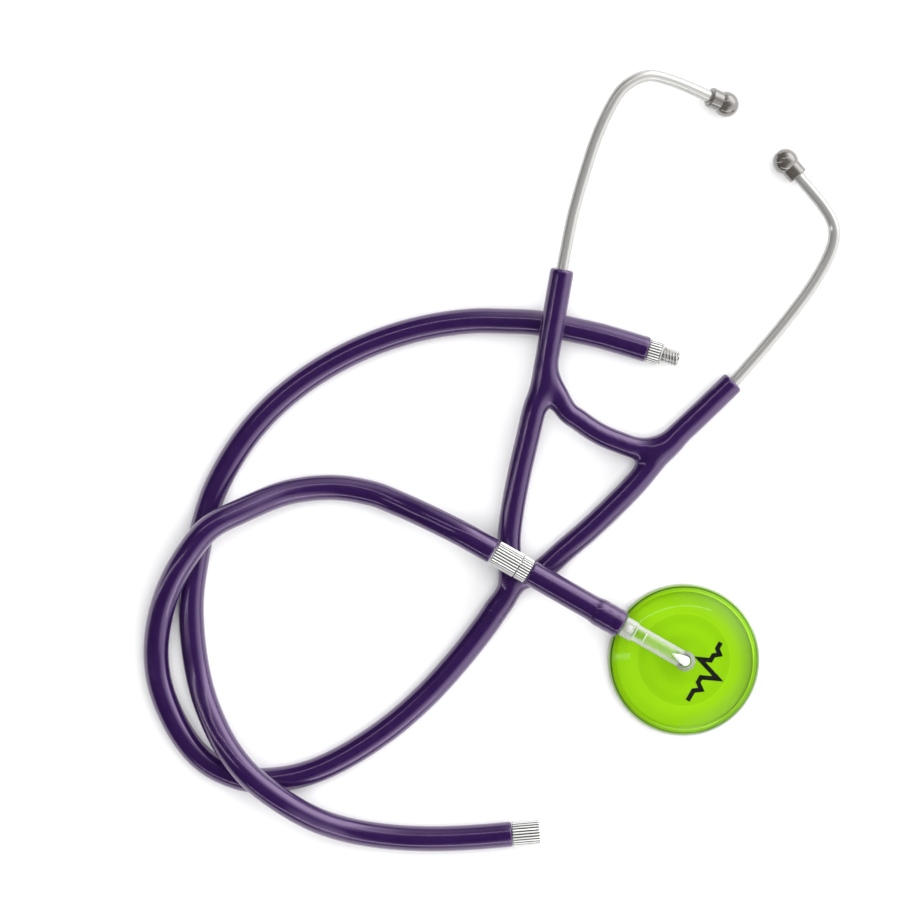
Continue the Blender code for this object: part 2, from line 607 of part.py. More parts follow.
def head():
    """The domed lens, the disc and bell under it, the diaphragm, and the ring that clamps them."""
    table = Vector((0.0, 0.0, 0.0))
    up = Vector((0.0, 0.0, 1.0))
    skirt = LAYERS["skirt"]
    lens = [
        (NECK_HOLE_RADIUS, LENS_TOP),
        *[dome_point(i / ARC_STEPS) for i in range(ARC_STEPS + 1)],
        (LENS_RADIUS, LENS_SHOULDER - LENS_EDGE),
        (LENS_RADIUS, skirt),
        (RECESS_RADIUS, skirt),
        (RECESS_RADIUS, LAYERS["recess"]),
        (NECK_HOLE_RADIUS, LAYERS["recess"]),
    ]
    turned("head_lens", lens, table, up, CLEAR, sides=HEAD_SIDES)
    insert_radius = RECESS_RADIUS - GAP
    disc_top = LAYERS["disc"] + PRINT_THICKNESS
    disc = [
        (NECK_HOLE_RADIUS, disc_top),
        (insert_radius, disc_top),
        (insert_radius, LAYERS["disc"]),
        (NECK_HOLE_RADIUS, LAYERS["disc"]),
    ]
    turned("print_disc", disc, table, up, GREEN, sides=HEAD_SIDES)
    bell_top = LAYERS["bell_top"]
    bell = [
        (NECK_HOLE_RADIUS, bell_top),
        (insert_radius, bell_top),
        (insert_radius, skirt),
        (BELL_CAVITY_RADIUS, skirt),
        (BELL_HUB_RADIUS, bell_top - BELL_HUB_THICKNESS),
        (NECK_HOLE_RADIUS, bell_top - BELL_HUB_THICKNESS),
    ]
    turned("bell_insert", bell, table, up, BELL, sides=HEAD_SIDES)
    flange = LAYERS["flange"]
    tray_radius = RING_LIP_RADIUS - GAP - DIAPHRAGM_STEP
    flange_radius = LENS_RADIUS - GAP
    sheet = [
        (0.0, DIAPHRAGM_THICKNESS),
        (tray_radius - DIAPHRAGM_THICKNESS, DIAPHRAGM_THICKNESS),
        (tray_radius + DIAPHRAGM_STEP - DIAPHRAGM_THICKNESS, flange + DIAPHRAGM_THICKNESS),
        (flange_radius, flange + DIAPHRAGM_THICKNESS),
        (flange_radius, flange),
        (tray_radius + DIAPHRAGM_STEP, flange),
        (tray_radius, 0.0),
        (0.0, 0.0),
    ]
    turned("diaphragm", sheet, table, up, FILM, sides=HEAD_SIDES)
    ring_inside = RING_RADIUS - RING_WALL
    ring = [
        (ring_inside, RING_HEIGHT),
        (RING_RADIUS - RING_WALL / 2, RING_HEIGHT),
        (RING_RADIUS, RING_HEIGHT - RING_WALL / 2),
        (RING_RADIUS, RING_RAISE + RING_WALL / 2),
        (RING_RADIUS - RING_WALL / 2, RING_RAISE),
        (RING_LIP_RADIUS, RING_RAISE),
        (RING_LIP_RADIUS, RING_RAISE + RING_LIP),
        (ring_inside, RING_RAISE + RING_LIP),
    ]
    turned("retaining_ring", ring, table, up, CLEAR, sides=HEAD_SIDES)


def free_hoses():
    """The main hose from the yoke to the union, and the loose extension hose with its union halves."""
    main = [Vector(p) * MM for p in MAIN_ROUTE]
    tube("main_tube", smooth_path(main, HOSE_POINT_SPACING), HOSE_RADIUS, HOSE)
    extension = [Vector(p) * MM for p in EXTENSION_ROUTE]
    path = smooth_path(extension, HOSE_POINT_SPACING)
    tube("extension_tube", path, HOSE_RADIUS, HOSE)
    plug_way = (path[0] - path[1]).normalized()
    socket_way = (path[-1] - path[-2]).normalized()
    plug_face = path[0] + plug_way * (GAP + COLLAR_LENGTH)
    plug("extension_plug", "extension_seal", plug_face, plug_way, shank=False)
    socket("extension_socket", path[-1] + socket_way * (GAP + SOCKET_LENGTH), socket_way)


yoke()
ear_side("left", LEFT_HINGE, LEFT_ARM_TOP, LEFT_EAR_TUBE, LEFT_TIP_SEAT)
ear_side("right", RIGHT_HINGE, RIGHT_ARM_TOP, RIGHT_EAR_TUBE, RIGHT_TIP_SEAT)
free_hoses()
union()
chest_tube()
stem()
head()
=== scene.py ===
"""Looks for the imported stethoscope: fine shapes, finishes, light and camera. Metres, +Z up."""

import json
import math

import bmesh
import bpy
import numpy as np
from mathutils import Vector
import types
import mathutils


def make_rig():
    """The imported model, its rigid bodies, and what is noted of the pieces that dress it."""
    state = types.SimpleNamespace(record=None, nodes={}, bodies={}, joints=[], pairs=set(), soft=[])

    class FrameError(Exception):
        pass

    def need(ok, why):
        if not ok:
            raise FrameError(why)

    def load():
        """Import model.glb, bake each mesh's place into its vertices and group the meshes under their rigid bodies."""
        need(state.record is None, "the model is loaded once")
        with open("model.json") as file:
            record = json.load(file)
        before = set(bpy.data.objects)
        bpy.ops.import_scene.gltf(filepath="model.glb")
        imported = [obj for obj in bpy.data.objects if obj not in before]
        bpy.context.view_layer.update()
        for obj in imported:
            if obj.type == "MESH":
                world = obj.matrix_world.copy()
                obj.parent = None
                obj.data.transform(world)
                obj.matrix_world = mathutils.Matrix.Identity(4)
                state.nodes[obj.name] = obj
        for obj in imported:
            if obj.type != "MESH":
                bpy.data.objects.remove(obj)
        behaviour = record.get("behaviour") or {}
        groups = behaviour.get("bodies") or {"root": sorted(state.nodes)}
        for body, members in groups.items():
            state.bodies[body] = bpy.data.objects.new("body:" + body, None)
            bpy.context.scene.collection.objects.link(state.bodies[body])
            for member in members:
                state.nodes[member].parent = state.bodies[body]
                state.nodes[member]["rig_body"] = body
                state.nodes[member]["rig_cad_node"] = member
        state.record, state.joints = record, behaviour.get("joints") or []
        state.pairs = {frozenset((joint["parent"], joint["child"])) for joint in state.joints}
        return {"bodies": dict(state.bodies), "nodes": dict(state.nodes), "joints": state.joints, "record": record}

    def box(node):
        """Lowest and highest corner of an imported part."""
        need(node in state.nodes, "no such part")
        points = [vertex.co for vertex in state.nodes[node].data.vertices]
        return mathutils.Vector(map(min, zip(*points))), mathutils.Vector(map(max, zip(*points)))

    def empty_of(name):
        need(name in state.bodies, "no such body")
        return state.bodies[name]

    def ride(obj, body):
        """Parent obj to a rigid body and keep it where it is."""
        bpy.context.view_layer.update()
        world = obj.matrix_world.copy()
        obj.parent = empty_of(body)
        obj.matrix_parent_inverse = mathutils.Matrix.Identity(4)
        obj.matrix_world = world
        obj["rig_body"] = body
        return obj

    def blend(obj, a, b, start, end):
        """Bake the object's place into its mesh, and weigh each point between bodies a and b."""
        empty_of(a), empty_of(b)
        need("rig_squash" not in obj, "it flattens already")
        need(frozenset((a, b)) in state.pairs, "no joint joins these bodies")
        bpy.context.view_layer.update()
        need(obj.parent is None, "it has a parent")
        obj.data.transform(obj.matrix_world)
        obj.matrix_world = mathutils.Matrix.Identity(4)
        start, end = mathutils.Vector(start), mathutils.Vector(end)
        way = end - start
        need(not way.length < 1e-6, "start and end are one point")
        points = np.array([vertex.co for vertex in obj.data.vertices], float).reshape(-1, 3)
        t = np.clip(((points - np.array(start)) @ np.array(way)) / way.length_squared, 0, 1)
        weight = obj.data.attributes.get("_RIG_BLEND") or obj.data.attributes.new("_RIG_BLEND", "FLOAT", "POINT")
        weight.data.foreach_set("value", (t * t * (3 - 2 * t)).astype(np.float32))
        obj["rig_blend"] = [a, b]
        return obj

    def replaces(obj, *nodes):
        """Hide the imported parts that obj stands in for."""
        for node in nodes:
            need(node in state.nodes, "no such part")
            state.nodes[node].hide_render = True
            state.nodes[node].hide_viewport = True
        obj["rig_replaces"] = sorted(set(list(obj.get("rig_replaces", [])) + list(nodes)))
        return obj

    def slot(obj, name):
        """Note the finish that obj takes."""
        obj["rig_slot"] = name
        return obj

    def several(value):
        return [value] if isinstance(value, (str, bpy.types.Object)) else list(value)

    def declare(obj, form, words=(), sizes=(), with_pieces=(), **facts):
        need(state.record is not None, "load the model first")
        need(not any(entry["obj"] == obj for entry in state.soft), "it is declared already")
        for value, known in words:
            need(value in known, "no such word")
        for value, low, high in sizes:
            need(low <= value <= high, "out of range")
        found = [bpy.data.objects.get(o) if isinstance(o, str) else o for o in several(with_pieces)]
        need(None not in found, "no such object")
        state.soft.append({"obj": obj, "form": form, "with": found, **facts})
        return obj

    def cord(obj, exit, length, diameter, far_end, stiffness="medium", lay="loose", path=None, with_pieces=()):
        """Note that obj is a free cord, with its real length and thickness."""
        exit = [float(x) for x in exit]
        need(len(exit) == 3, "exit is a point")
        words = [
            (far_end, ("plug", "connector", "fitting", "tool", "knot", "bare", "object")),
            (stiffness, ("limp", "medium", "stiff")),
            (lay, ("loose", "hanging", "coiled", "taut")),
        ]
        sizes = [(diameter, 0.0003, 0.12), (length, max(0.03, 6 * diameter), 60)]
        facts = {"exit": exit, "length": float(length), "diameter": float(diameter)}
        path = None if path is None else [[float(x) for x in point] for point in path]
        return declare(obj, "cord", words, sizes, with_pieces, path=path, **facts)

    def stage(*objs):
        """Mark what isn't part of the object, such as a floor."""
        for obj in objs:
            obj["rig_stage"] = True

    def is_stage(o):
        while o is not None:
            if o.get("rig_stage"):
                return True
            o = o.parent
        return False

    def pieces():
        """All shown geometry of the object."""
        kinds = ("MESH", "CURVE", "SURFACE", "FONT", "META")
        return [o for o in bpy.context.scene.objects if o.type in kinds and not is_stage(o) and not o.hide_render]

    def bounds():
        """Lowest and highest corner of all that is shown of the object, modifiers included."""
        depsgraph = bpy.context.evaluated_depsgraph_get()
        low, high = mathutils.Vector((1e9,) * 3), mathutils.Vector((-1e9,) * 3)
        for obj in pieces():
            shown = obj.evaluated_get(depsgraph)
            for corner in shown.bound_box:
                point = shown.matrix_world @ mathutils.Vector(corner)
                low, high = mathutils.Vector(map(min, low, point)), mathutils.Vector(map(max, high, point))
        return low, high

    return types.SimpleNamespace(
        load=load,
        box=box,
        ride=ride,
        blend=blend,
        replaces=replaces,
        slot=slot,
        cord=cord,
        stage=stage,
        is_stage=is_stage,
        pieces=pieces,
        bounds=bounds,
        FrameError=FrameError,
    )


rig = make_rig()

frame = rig.load()
cad_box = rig.bounds()

MM = 0.001
GAP = 0.3 * MM  # between pieces that seat on each other
UP = Vector((0.0, 0.0, 1.0))
TABLE = Vector((0.0, 0.0, 0.0))
MERGE_DISTANCE = 0.001 * MM
SHARP_DEGREES = 35.0
BUMP_DEPTH = 0.1 * MM

# Camera, straight down as the photograph was taken, and stage
VIEW_CENTRE = (-0.0936, 0.084)
VIEW_WIDTH = 0.36
CAMERA_LENS = 200.0
SENSOR_WIDTH = 36.0
VIEW_LEVEL = 0.008
BROAD_SIDE = (0.75, 0.62, 0.2)  # where the broad light comes from
FILL_SIDE = (0.7, -0.7, 0.15)  # and a weaker one
SURROUND_STRENGTH = 3.5
FLOOR_SIZE = 4.0

# Hoses and rubber arms
HOSE_RADIUS = 5.1 * MM
HOSE_EDGE = 0.8 * MM
HOSE_EDGE_STEPS = (0.0, 0.1, 0.25, 0.5, 0.75, 1.0)  # shares of the edge that get a ring
HOSE_SPACING = 1.8 * MM  # of the rings between the ends
HOSE_END = 2.5 * MM  # from an end to the first evenly spaced ring
ARM_RADIUS = 4.8 * MM
ARM_EDGE = 1.2 * MM
CROSSBAR_RADIUS = 4.45 * MM
MAIN_LENGTH = 0.377
EXTENSION_LENGTH = 0.436

# Plan of the headset, in millimetres
YOKE_JOIN = (-69.5, 31.0)
YOKE_STUB = [(-71.4, 25.4), (-74.4, 21.2)]
LEFT_LOWER_ARM = [(-60.0, 100.1), (-62.8, 88.1), (-66.0, 74.1), (-68.6, 60.0), (-70.0, 47.4)]
RIGHT_LOWER_ARM = [(-18.8, 71.2), (-28.2, 61.5), (-38.1, 52.1), (-48.0, 43.6), (-55.6, 36.8), (-62.5, 32.6)]
CROSSBAR = [(-48.1, 101.2), (-41.8, 95.7), (-34.1, 90.6), (-26.0, 87.1), (-17.6, 84.7)]
LEFT_EAR_TUBE = [(-44.8, 177.0), (-40.0, 194.2), (-34.6, 210.2), (-27.6, 224.2), (-21.6, 230.3),
                 (-14.0, 233.0), (-5.0, 231.2), (2.7, 228.4)]
LEFT_TIP_SEAT = (10.1, 225.3)
RIGHT_EAR_TUBE = [(32.3, 125.2), (42.0, 137.0), (50.2, 148.0), (55.7, 156.9), (59.2, 164.5),
                  (60.4, 170.7), (59.2, 176.2), (55.7, 182.0), (50.8, 188.0)]
RIGHT_TIP_SEAT = (46.0, 193.5)

# Routes of the two free hoses, in millimetres, as in the part's source
MAIN_ROUTE = [
    (-74.8, 20.6, 5.2), (-80.2, 12.8, 5.3), (-90.8, -0.6, 5.3), (-103.4, -14.4, 5.3),
    (-118.4, -27.5, 5.3), (-136.0, -39.0, 5.3), (-152.4, -46.0, 5.3), (-169.6, -48.4, 5.3),
    (-182.4, -45.6, 5.3), (-193.6, -38.8, 5.3), (-202.6, -27.2, 5.3), (-209.2, -12.0, 5.3),
    (-211.3, 2.0, 5.6), (-209.8, 16.0, 8.3), (-205.6, 29.2, 12.7), (-198.8, 41.6, 16.3),
    (-189.6, 52.8, 16.7), (-177.0, 59.6, 13.6), (-159.4, 66.8, 7.7), (-141.6, 69.0, 5.3),
    (-125.6, 66.8, 5.4), (-113.6, 62.3, 8.0), (-101.6, 56.9, 12.9), (-89.6, 51.0, 16.9),
    (-82.9, 47.3, 17.6), (-76.35, 43.56, 17.6),
]
EXTENSION_ROUTE = [
    (-14.4, 124.1, 5.3), (-24.0, 127.0, 5.3), (-33.8, 129.8, 5.3), (-43.7, 132.0, 5.3),
    (-57.6, 134.8, 5.3), (-71.6, 135.6, 5.3), (-85.6, 135.6, 5.3), (-101.8, 133.4, 5.3),
    (-118.1, 129.0, 5.3), (-134.5, 122.2, 5.3), (-151.1, 112.4, 5.3), (-165.6, 100.4, 5.3),
    (-177.3, 86.5, 5.3), (-186.9, 69.9, 5.3), (-192.0, 55.2, 5.3), (-195.2, 40.0, 5.3),
    (-197.2, 24.0, 5.3), (-196.6, 8.0, 5.3), (-194.0, -8.0, 5.9), (-189.8, -20.8, 9.0),
    (-182.8, -34.3, 13.9), (-173.6, -45.6, 16.8), (-161.6, -55.2, 15.9), (-148.1, -63.2, 11.5),
    (-134.0, -68.2, 7.0), (-117.8, -70.9, 5.3), (-101.6, -71.7, 5.3), (-85.6, -71.2, 5.3),
    (-68.8, -69.85, 5.3),
]

# Yoke skin
SKIN_VOXEL = 0.65 * MM
SKIN_SPACING = 0.8 * MM  # of the points along a bar
SKIN_FIRST_SMOOTHINGS = 6
SKIN_DRAWS = 3
SKIN_SLOPE_STEP = 0.05 * MM
SKIN_LEAST_STEEPNESS = 0.25
SKIN_SMOOTHINGS = 4
SKIN_SHARP_DEGREES = 60.0
SKIN_FILLET = 4.5 * MM
SKIN_BEND = 8.0 * MM  # each way from a hinge
SKIN_CUT = 24.0 * MM  # from a hinge to where its piece of skin ends
SKIN_CUT_REACH = 1.6 * ARM_RADIUS  # of the faces that a cut may touch
SKIN_CUT_TOLERANCE = 0.0001 * MM
SKIN_TAPER = 14.0 * MM  # length over which a bar thins inside another
SKIN_ROOT_RADIUS = 1.5 * MM
SKIN_BAR_SHARE = 0.16  # how far up each sleeve the cross bar's ends reach
SKIN_END_EDGE = 0.3 * MM
SKIN_LAP = 0.15 * MM  # by which its end stands over the main hose
SKIN_OVERLAP = 3.0 * MM  # past the start of the main hose

# Ear tubes and tips
EAR_TUBE_RADIUS = 2.4 * MM
EAR_TUBE_GRIP = 20.0 * MM
EAR_TUBE_RUN_OUT = 3.0 * MM
EAR_TUBE_SPACING = 1.5 * MM
TIP_BASE_RADIUS = 4.15 * MM
TIP_BASE_EDGE = 0.7 * MM
TIP_BASE_LOW = 1.2 * MM
TIP_BASE_HIGH = 3.6 * MM
TIP_BULB_RADIUS = 5.2 * MM
TIP_BULB_DISTANCE = 8.0 * MM
TIP_MOUTH_RADIUS = 1.5 * MM
TIP_MOUTH_EDGE = 0.4 * MM
TIP_GRIP = 5.5 * MM

# Threaded unions
SOCKET_RADIUS = 5.1 * MM
SOCKET_LENGTH = 10.8 * MM
COLLAR_RADIUS = 4.9 * MM
COLLAR_LENGTH = 4.6 * MM
SPIGOT_RADIUS = 3.25 * MM
SPIGOT_LENGTH = 8.0 * MM
SPIGOT_RELIEF = 1.6 * MM
UNION_BORE_RADIUS = 1.2 * MM
UNION_EDGE = 0.5 * MM
KNURL_RIDGES = 26
KNURL_DEPTH = 0.4 * MM
KNURL_FLOOR = 0.2  # share of a wave that is the groove's floor
KNURL_FLANK = 0.5  # share that is the ridge's flank
KNURL_SIDES = KNURL_RIDGES * 8
THREAD_STARTS = 5
THREAD_LEAD = 6.0 * MM
THREAD_DEPTH = 0.5 * MM
THREAD_STEPS = 44

# Chestpiece
STEM_REACH = 28.8 * MM
STEM_RADIUS = 3.5 * MM
STEM_EDGE = 0.3 * MM
PASSAGE_RADIUS = 2.0 * MM
PASSAGE_START = 5.2 * MM
PASSAGE_END = 18.4 * MM
DRILL_TIP = 6.4 * MM
DRILL_POWER = 1.5
BLOB_RADIUS = 1.7 * MM
BLOB_DISTANCE = 1.8 * MM
BALL_RADIUS = 4.1 * MM
STEM_COLLAR_RADIUS = 4.1 * MM
STEM_COLLAR_LENGTH = 5.4 * MM
NECK_RADIUS = 2.5 * MM
BARB_ROOT_RADIUS = 2.3 * MM
BARB_RIDGE_RADIUS = 3.0 * MM
BARB_PITCH = 4.0 * MM
BARB_COUNT = 3
CHEST_HOSE_LENGTH = 42.7 * MM
HOSE_BULGE = 0.75 * MM
BULGE_SPREAD = 2.0 * MM
HEAD_SIDES = 128
HIDDEN_SIDES = 96
RING_RADIUS = 30.4 * MM
RING_WALL = 1.1 * MM
RING_LIP_RADIUS = 25.3 * MM
RING_LIP_THICKNESS = 0.6 * MM
LENS_MIDDLE_RADIUS = 6.0 * MM
LENS_FLAT_RADIUS = 18.7 * MM
LENS_SHOULDER = 9.4 * MM
LENS_EDGE = 0.7 * MM
LENS_SKIRT_WALL = 1.2 * MM
LENS_DOME_POWER = 1.6
# Painted crescent shade on the print and rim: its circle, its shift away from the hose, and its soft edge
CRESCENT_RADIUS = 38.1 * MM
CRESCENT_SHIFT = 11.6 * MM
CRESCENT_EDGE = 0.5 * MM
PRINT_EDGE_SHARE = 0.902  # of the ring's radius
# Width of the painted highlight line at the edge of the lens's flat
FLAT_HIGHLIGHT_SHARE = 0.015  # of the ring's radius, each way from the flat's edge
BELL_MOUTH_RADIUS = 25.0 * MM
BELL_THROAT_RADIUS = 6.0 * MM
BELL_HUB = 1.3 * MM
BELL_POWER = 0.8
FILM_THICKNESS = 0.5 * MM
FILM_MIDDLE_RADIUS = 4.0 * MM
FILM_TRAY_RADIUS = 24.4 * MM
FILM_FLARE = 0.6 * MM

# Pulse trace on the print: along the stroke and away from the hose, in millimetres
PULSE_TRACE = [(-13.4, 9.4), (-8.8, 9.4), (-6.9, 12.0), (-5.0, 9.4), (-2.7, 9.4), (0.2, 15.6),
               (3.4, 5.4), (5.2, 9.4), (7.4, 9.4), (9.0, 11.4), (10.6, 9.4), (13.4, 9.4)]
TRACE_WIDTH = 1.8 * MM
TRACE_LIFT = 0.05 * MM
TRACE_THICKNESS = 0.1 * MM
MITRE_LEAST = 0.3

JOINTS = {joint["name"]: joint for joint in frame["joints"]}


def joint_point(name):
    return Vector(JOINTS[name]["pos_m"])


def joint_axis(name):
    return Vector(JOINTS[name]["axis"]).normalized()


STEM_POINT = joint_point("chestpiece_turn")
TOWARDS_UNION = -joint_axis("chestpiece_turn")
HOSE_START = Vector(MAIN_ROUTE[0]) * MM
HOSE_WAY = (Vector(MAIN_ROUTE[1]) * MM - HOSE_START).normalized()


# Shape helpers


def smooth_path(points, spacing, steps=16):
    """Evenly spaced points along a Catmull-Rom curve through the given ones."""
    ends = [2 * points[0] - points[1], *points, 2 * points[-1] - points[-2]]
    fine = []
    for i in range(len(points) - 1):
        a, b, c, d = ends[i : i + 4]
        bend = 2 * a - 5 * b + 4 * c - d
        twist = 3 * b - a - 3 * c + d
        for step in range(steps):
            t = step / steps
            fine.append(0.5 * (2 * b + (c - a) * t + bend * t**2 + twist * t**3))
    fine.append(points[-1])
    line = np.array(fine)
    lengths = lengths_along(line)
    count = max(2, round(lengths[-1] / spacing))
    return at_distances(line, np.linspace(0.0, lengths[-1], count + 1))


def lengths_along(line):
    return np.concatenate([[0.0], np.cumsum(np.linalg.norm(np.diff(line, axis=0), axis=1))])


def at_distances(line, distances):
    """Points of a line at distances from its start."""
    lengths = lengths_along(line)
    return np.stack([np.interp(distances, lengths, line[:, k]) for k in range(3)], axis=1)


def placed(name, data):
    obj = bpy.data.objects.new(name, data)
    bpy.context.scene.collection.objects.link(obj)
    return obj


def piece(name, mesh, material):
    mesh.materials.append(material)
    return placed(name, mesh)


def refinish(obj, material, chosen):
    """Gives another finish to the faces whose middle is chosen."""
    obj.data.materials.append(material)
    for face in obj.data.polygons:
        if chosen(face.center):
            face.material_index = 1


def within(origin, axis, reach):
    """A test for points within reach of an axis."""

    def test(at):
        out = at - origin
        return (out - axis * out.dot(axis)).length <= reach

    return test


def settle(obj, body, slot, *nodes):
    """Rides a piece on its body in place of the nodes it stands for."""
    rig.ride(obj, body)
    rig.slot(obj, slot)
    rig.replaces(obj, *nodes)
    return obj


def mesh_of(name, shape):
    """Turns an editable shape into a mesh and frees it."""
    mesh = bpy.data.meshes.new(name)
    shape.to_mesh(mesh)
    shape.free()
    return mesh


def ring_mesh(name, rings, wrap):
    """A mesh through rings of points, capped unless it wraps. Its UV runs round, and along in metres."""
    count, sides = rings.shape[:2]
    middles = rings[:, 0, :]
    lengths = lengths_along(np.concatenate([middles, middles[:1]]) if wrap else middles)
    shape = bmesh.new()
    uv = shape.loops.layers.uv.new("UVMap")
    verts = [[shape.verts.new(p) for p in ring] for ring in rings]
    for i in range(count if wrap else count - 1):
        k = (i + 1) % count
        for j in range(sides):
            m = (j + 1) % sides
            face = shape.faces.new((verts[i][j], verts[i][m], verts[k][m], verts[k][j]))
            face.smooth = True
            for loop, (around, along) in zip(face.loops, ((j, i), (j + 1, i), (j + 1, i + 1), (j, i + 1))):
                loop[uv].uv = (around / sides, lengths[along])
    if not wrap:
        shape.faces.new(verts[0])
        shape.faces.new(verts[-1])
    bmesh.ops.remove_doubles(shape, verts=shape.verts, dist=MERGE_DISTANCE)
    bmesh.ops.recalc_face_normals(shape, faces=shape.faces)
    mesh = mesh_of(name, shape)
    mesh.set_sharp_from_angle(angle=math.radians(SHARP_DEGREES))
    return mesh


def swept(name, line, radii, sides):
    """A round bar along a line, with a radius at each of its points."""
    tangents = np.gradient(line, axis=0)
    tangents /= np.linalg.norm(tangents, axis=1)[:, None]
    side = np.cross(tangents[0], (0.0, 0.0, 1.0))
    angles = np.linspace(0.0, 2 * math.pi, sides, endpoint=False)
    rings = []
    for point, along, radius in zip(line, tangents, radii):
        side = side - along * np.dot(side, along)
        side /= np.linalg.norm(side)
        up = np.cross(side, along)
        rings.append(point + radius * (np.outer(np.cos(angles), side) + np.outer(np.sin(angles), up)))
    return ring_mesh(name, np.array(rings), wrap=False)


def turned(name, profile, origin, axis, sides, wrap=True, shape=None):
    """A profile of (radius, height) points turned about an axis. A shape may change radii by angle."""
    turn = Vector(axis).to_track_quat("Z", "Y")
    angles = [2 * math.pi * j / sides for j in range(sides)]
    rings = []
    for radius, height in profile:
        ring = []
        for angle in angles:
            r = shape(radius, height, angle) if shape else radius
            ring.append(Vector(origin) + turn @ Vector((r * math.cos(angle), r * math.sin(angle), height)))
        rings.append(ring)
    return ring_mesh(name, np.array(rings), wrap)


def arc(centre, radius, from_degrees, to_degrees, steps=6):
    """Profile points on a circle about a (radius, height) centre."""
    angles = [math.radians(from_degrees + (to_degrees - from_degrees) * i / steps) for i in range(steps + 1)]
    return [(centre[0] + radius * math.cos(a), centre[1] + radius * math.sin(a)) for a in angles]


def rounded_wall(radius, start, end, edge, steps=6):
    """Profile points of a wall from one height to another, with both its edges rounded."""
    way = 1 if end > start else -1
    first = arc((radius - edge, start + way * edge), edge, -90.0 * way, 0.0, steps)
    return first + arc((radius - edge, end - way * edge), edge, 0.0, 90.0 * way, steps)


def steps_between(start, end, count):
    return [start + (end - start) * i / count for i in range(count + 1)]


# Finishes


def preset(node, settings):
    """Sets some of a node's inputs."""
    for key, value in settings.items():
        node.inputs[key].default_value = value
    return node


def node_of(tree, kind, settings):
    return preset(tree.nodes.new(kind), settings)


def finish(name, settings):
    """A new material with its node tree and its Principled shader, some of whose inputs are set."""
    made = bpy.data.materials.new(name)
    made.use_nodes = True
    shader = made.node_tree.nodes["Principled BSDF"]
    return made, made.node_tree, preset(shader, {"IOR": 1.5, **settings})


def worked(tree, kind, operation, values):
    """A maths node over sockets and plain values."""
    node = tree.nodes.new(kind)
    node.operation = operation
    for slot, value in zip(node.inputs, values):
        if isinstance(value, bpy.types.NodeSocket):
            tree.links.new(value, slot)
        else:
            slot.default_value = value
    return node.outputs


def number(tree, operation, *values):
    return worked(tree, "ShaderNodeMath", operation, values)["Value"]


def vector(tree, operation, *values, output="Vector"):
    return worked(tree, "ShaderNodeVectorMath", operation, values)[output]


def coordinates(tree, source):
    return tree.nodes.new("ShaderNodeTexCoord").outputs[source]


def noise(tree, scale, detail=3.0, source="Object", stretch=(1.0, 1.0, 1.0)):
    """A noise texture over the piece's own coordinates, drawn out along each axis by the stretch."""
    mapping = node_of(tree, "ShaderNodeMapping", {"Scale": stretch})
    texture = node_of(tree, "ShaderNodeTexNoise", {"Scale": scale, "Detail": detail})
    tree.links.new(coordinates(tree, source), mapping.inputs["Vector"])
    tree.links.new(mapping.outputs["Vector"], texture.inputs["Vector"])
    return texture.outputs["Fac"]


def ramp(tree, value, stops):
    """A colour ramp over (position, colour) stops."""
    node = tree.nodes.new("ShaderNodeValToRGB")
    elements = node.color_ramp.elements
    while len(elements) < len(stops):
        elements.new(0.5)
    for element, (position, colour) in zip(elements, stops):
        element.position = position
        element.color = (*colour, 1.0)
    tree.links.new(value, node.inputs["Fac"])
    return node.outputs["Color"]


def spread(tree, value, low, high, start=0.3, end=0.7):
    """A value's range from start to end mapped onto another range."""
    ends = {"From Min": start, "From Max": end, "To Min": low, "To Max": high}
    node = node_of(tree, "ShaderNodeMapRange", ends)
    tree.links.new(value, node.inputs["Value"])
    return node.outputs["Result"]


def mottle(tree, shader, pattern, dark, light):
    """Colours a shader between two colours by a pattern."""
    tree.links.new(ramp(tree, pattern, [(0.3, dark), (0.7, light)]), shader.inputs["Base Color"])


def uneven(tree, shader, pattern, least, most):
    """Varies a shader's roughness by a pattern."""
    tree.links.new(spread(tree, pattern, least, most), shader.inputs["Roughness"])


def bump(tree, shader, height, strength):
    node = node_of(tree, "ShaderNodeBump", {"Strength": strength, "Distance": BUMP_DEPTH})
    tree.links.new(height, node.inputs["Height"])
    tree.links.new(node.outputs["Normal"], shader.inputs["Normal"])


def mixed(tree, share, one, other):
    """A shader that goes from one to another."""
    node = tree.nodes.new("ShaderNodeMixShader")
    for slot, value in zip(node.inputs, (share, one, other)):
        tree.links.new(value, slot)
    return node.outputs["Shader"]


def surface_of(tree):
    return tree.nodes["Material Output"].inputs["Surface"]


def hose_finish():
    """Glossy moulded PVC with a faint cloudiness and grain."""
    settings = {
        "Specular IOR Level": 1.0,
        "Specular Tint": (0.86, 0.62, 1.0, 1.0),
        "Coat Weight": 0.35,
        "Coat Roughness": 0.12,
        "Sheen Weight": 0.35,
        "Sheen Roughness": 0.25,
        "Sheen Tint": (0.80, 0.62, 1.0, 1.0),
    }
    made, tree, shader = finish("purple_hose", settings)
    mottle(tree, shader, noise(tree, 90.0), (0.0185, 0.0050, 0.049), (0.0220, 0.0062, 0.056))
    uneven(tree, shader, noise(tree, 260.0), 0.17, 0.24)
    bump(tree, shader, noise(tree, 700.0, detail=2.0), 0.02)
    return made


def chrome_finish():
    """Bright plated tube with fine drawing lines along it."""
    made, tree, shader = finish("chrome", {"Metallic": 0.48})
    lines = noise(tree, 60.0, source="UV", stretch=(6.0, 0.6, 1.0))
    mottle(tree, shader, lines, (0.42, 0.415, 0.40), (0.50, 0.495, 0.48))
    uneven(tree, shader, lines, 0.09, 0.17)
    return made


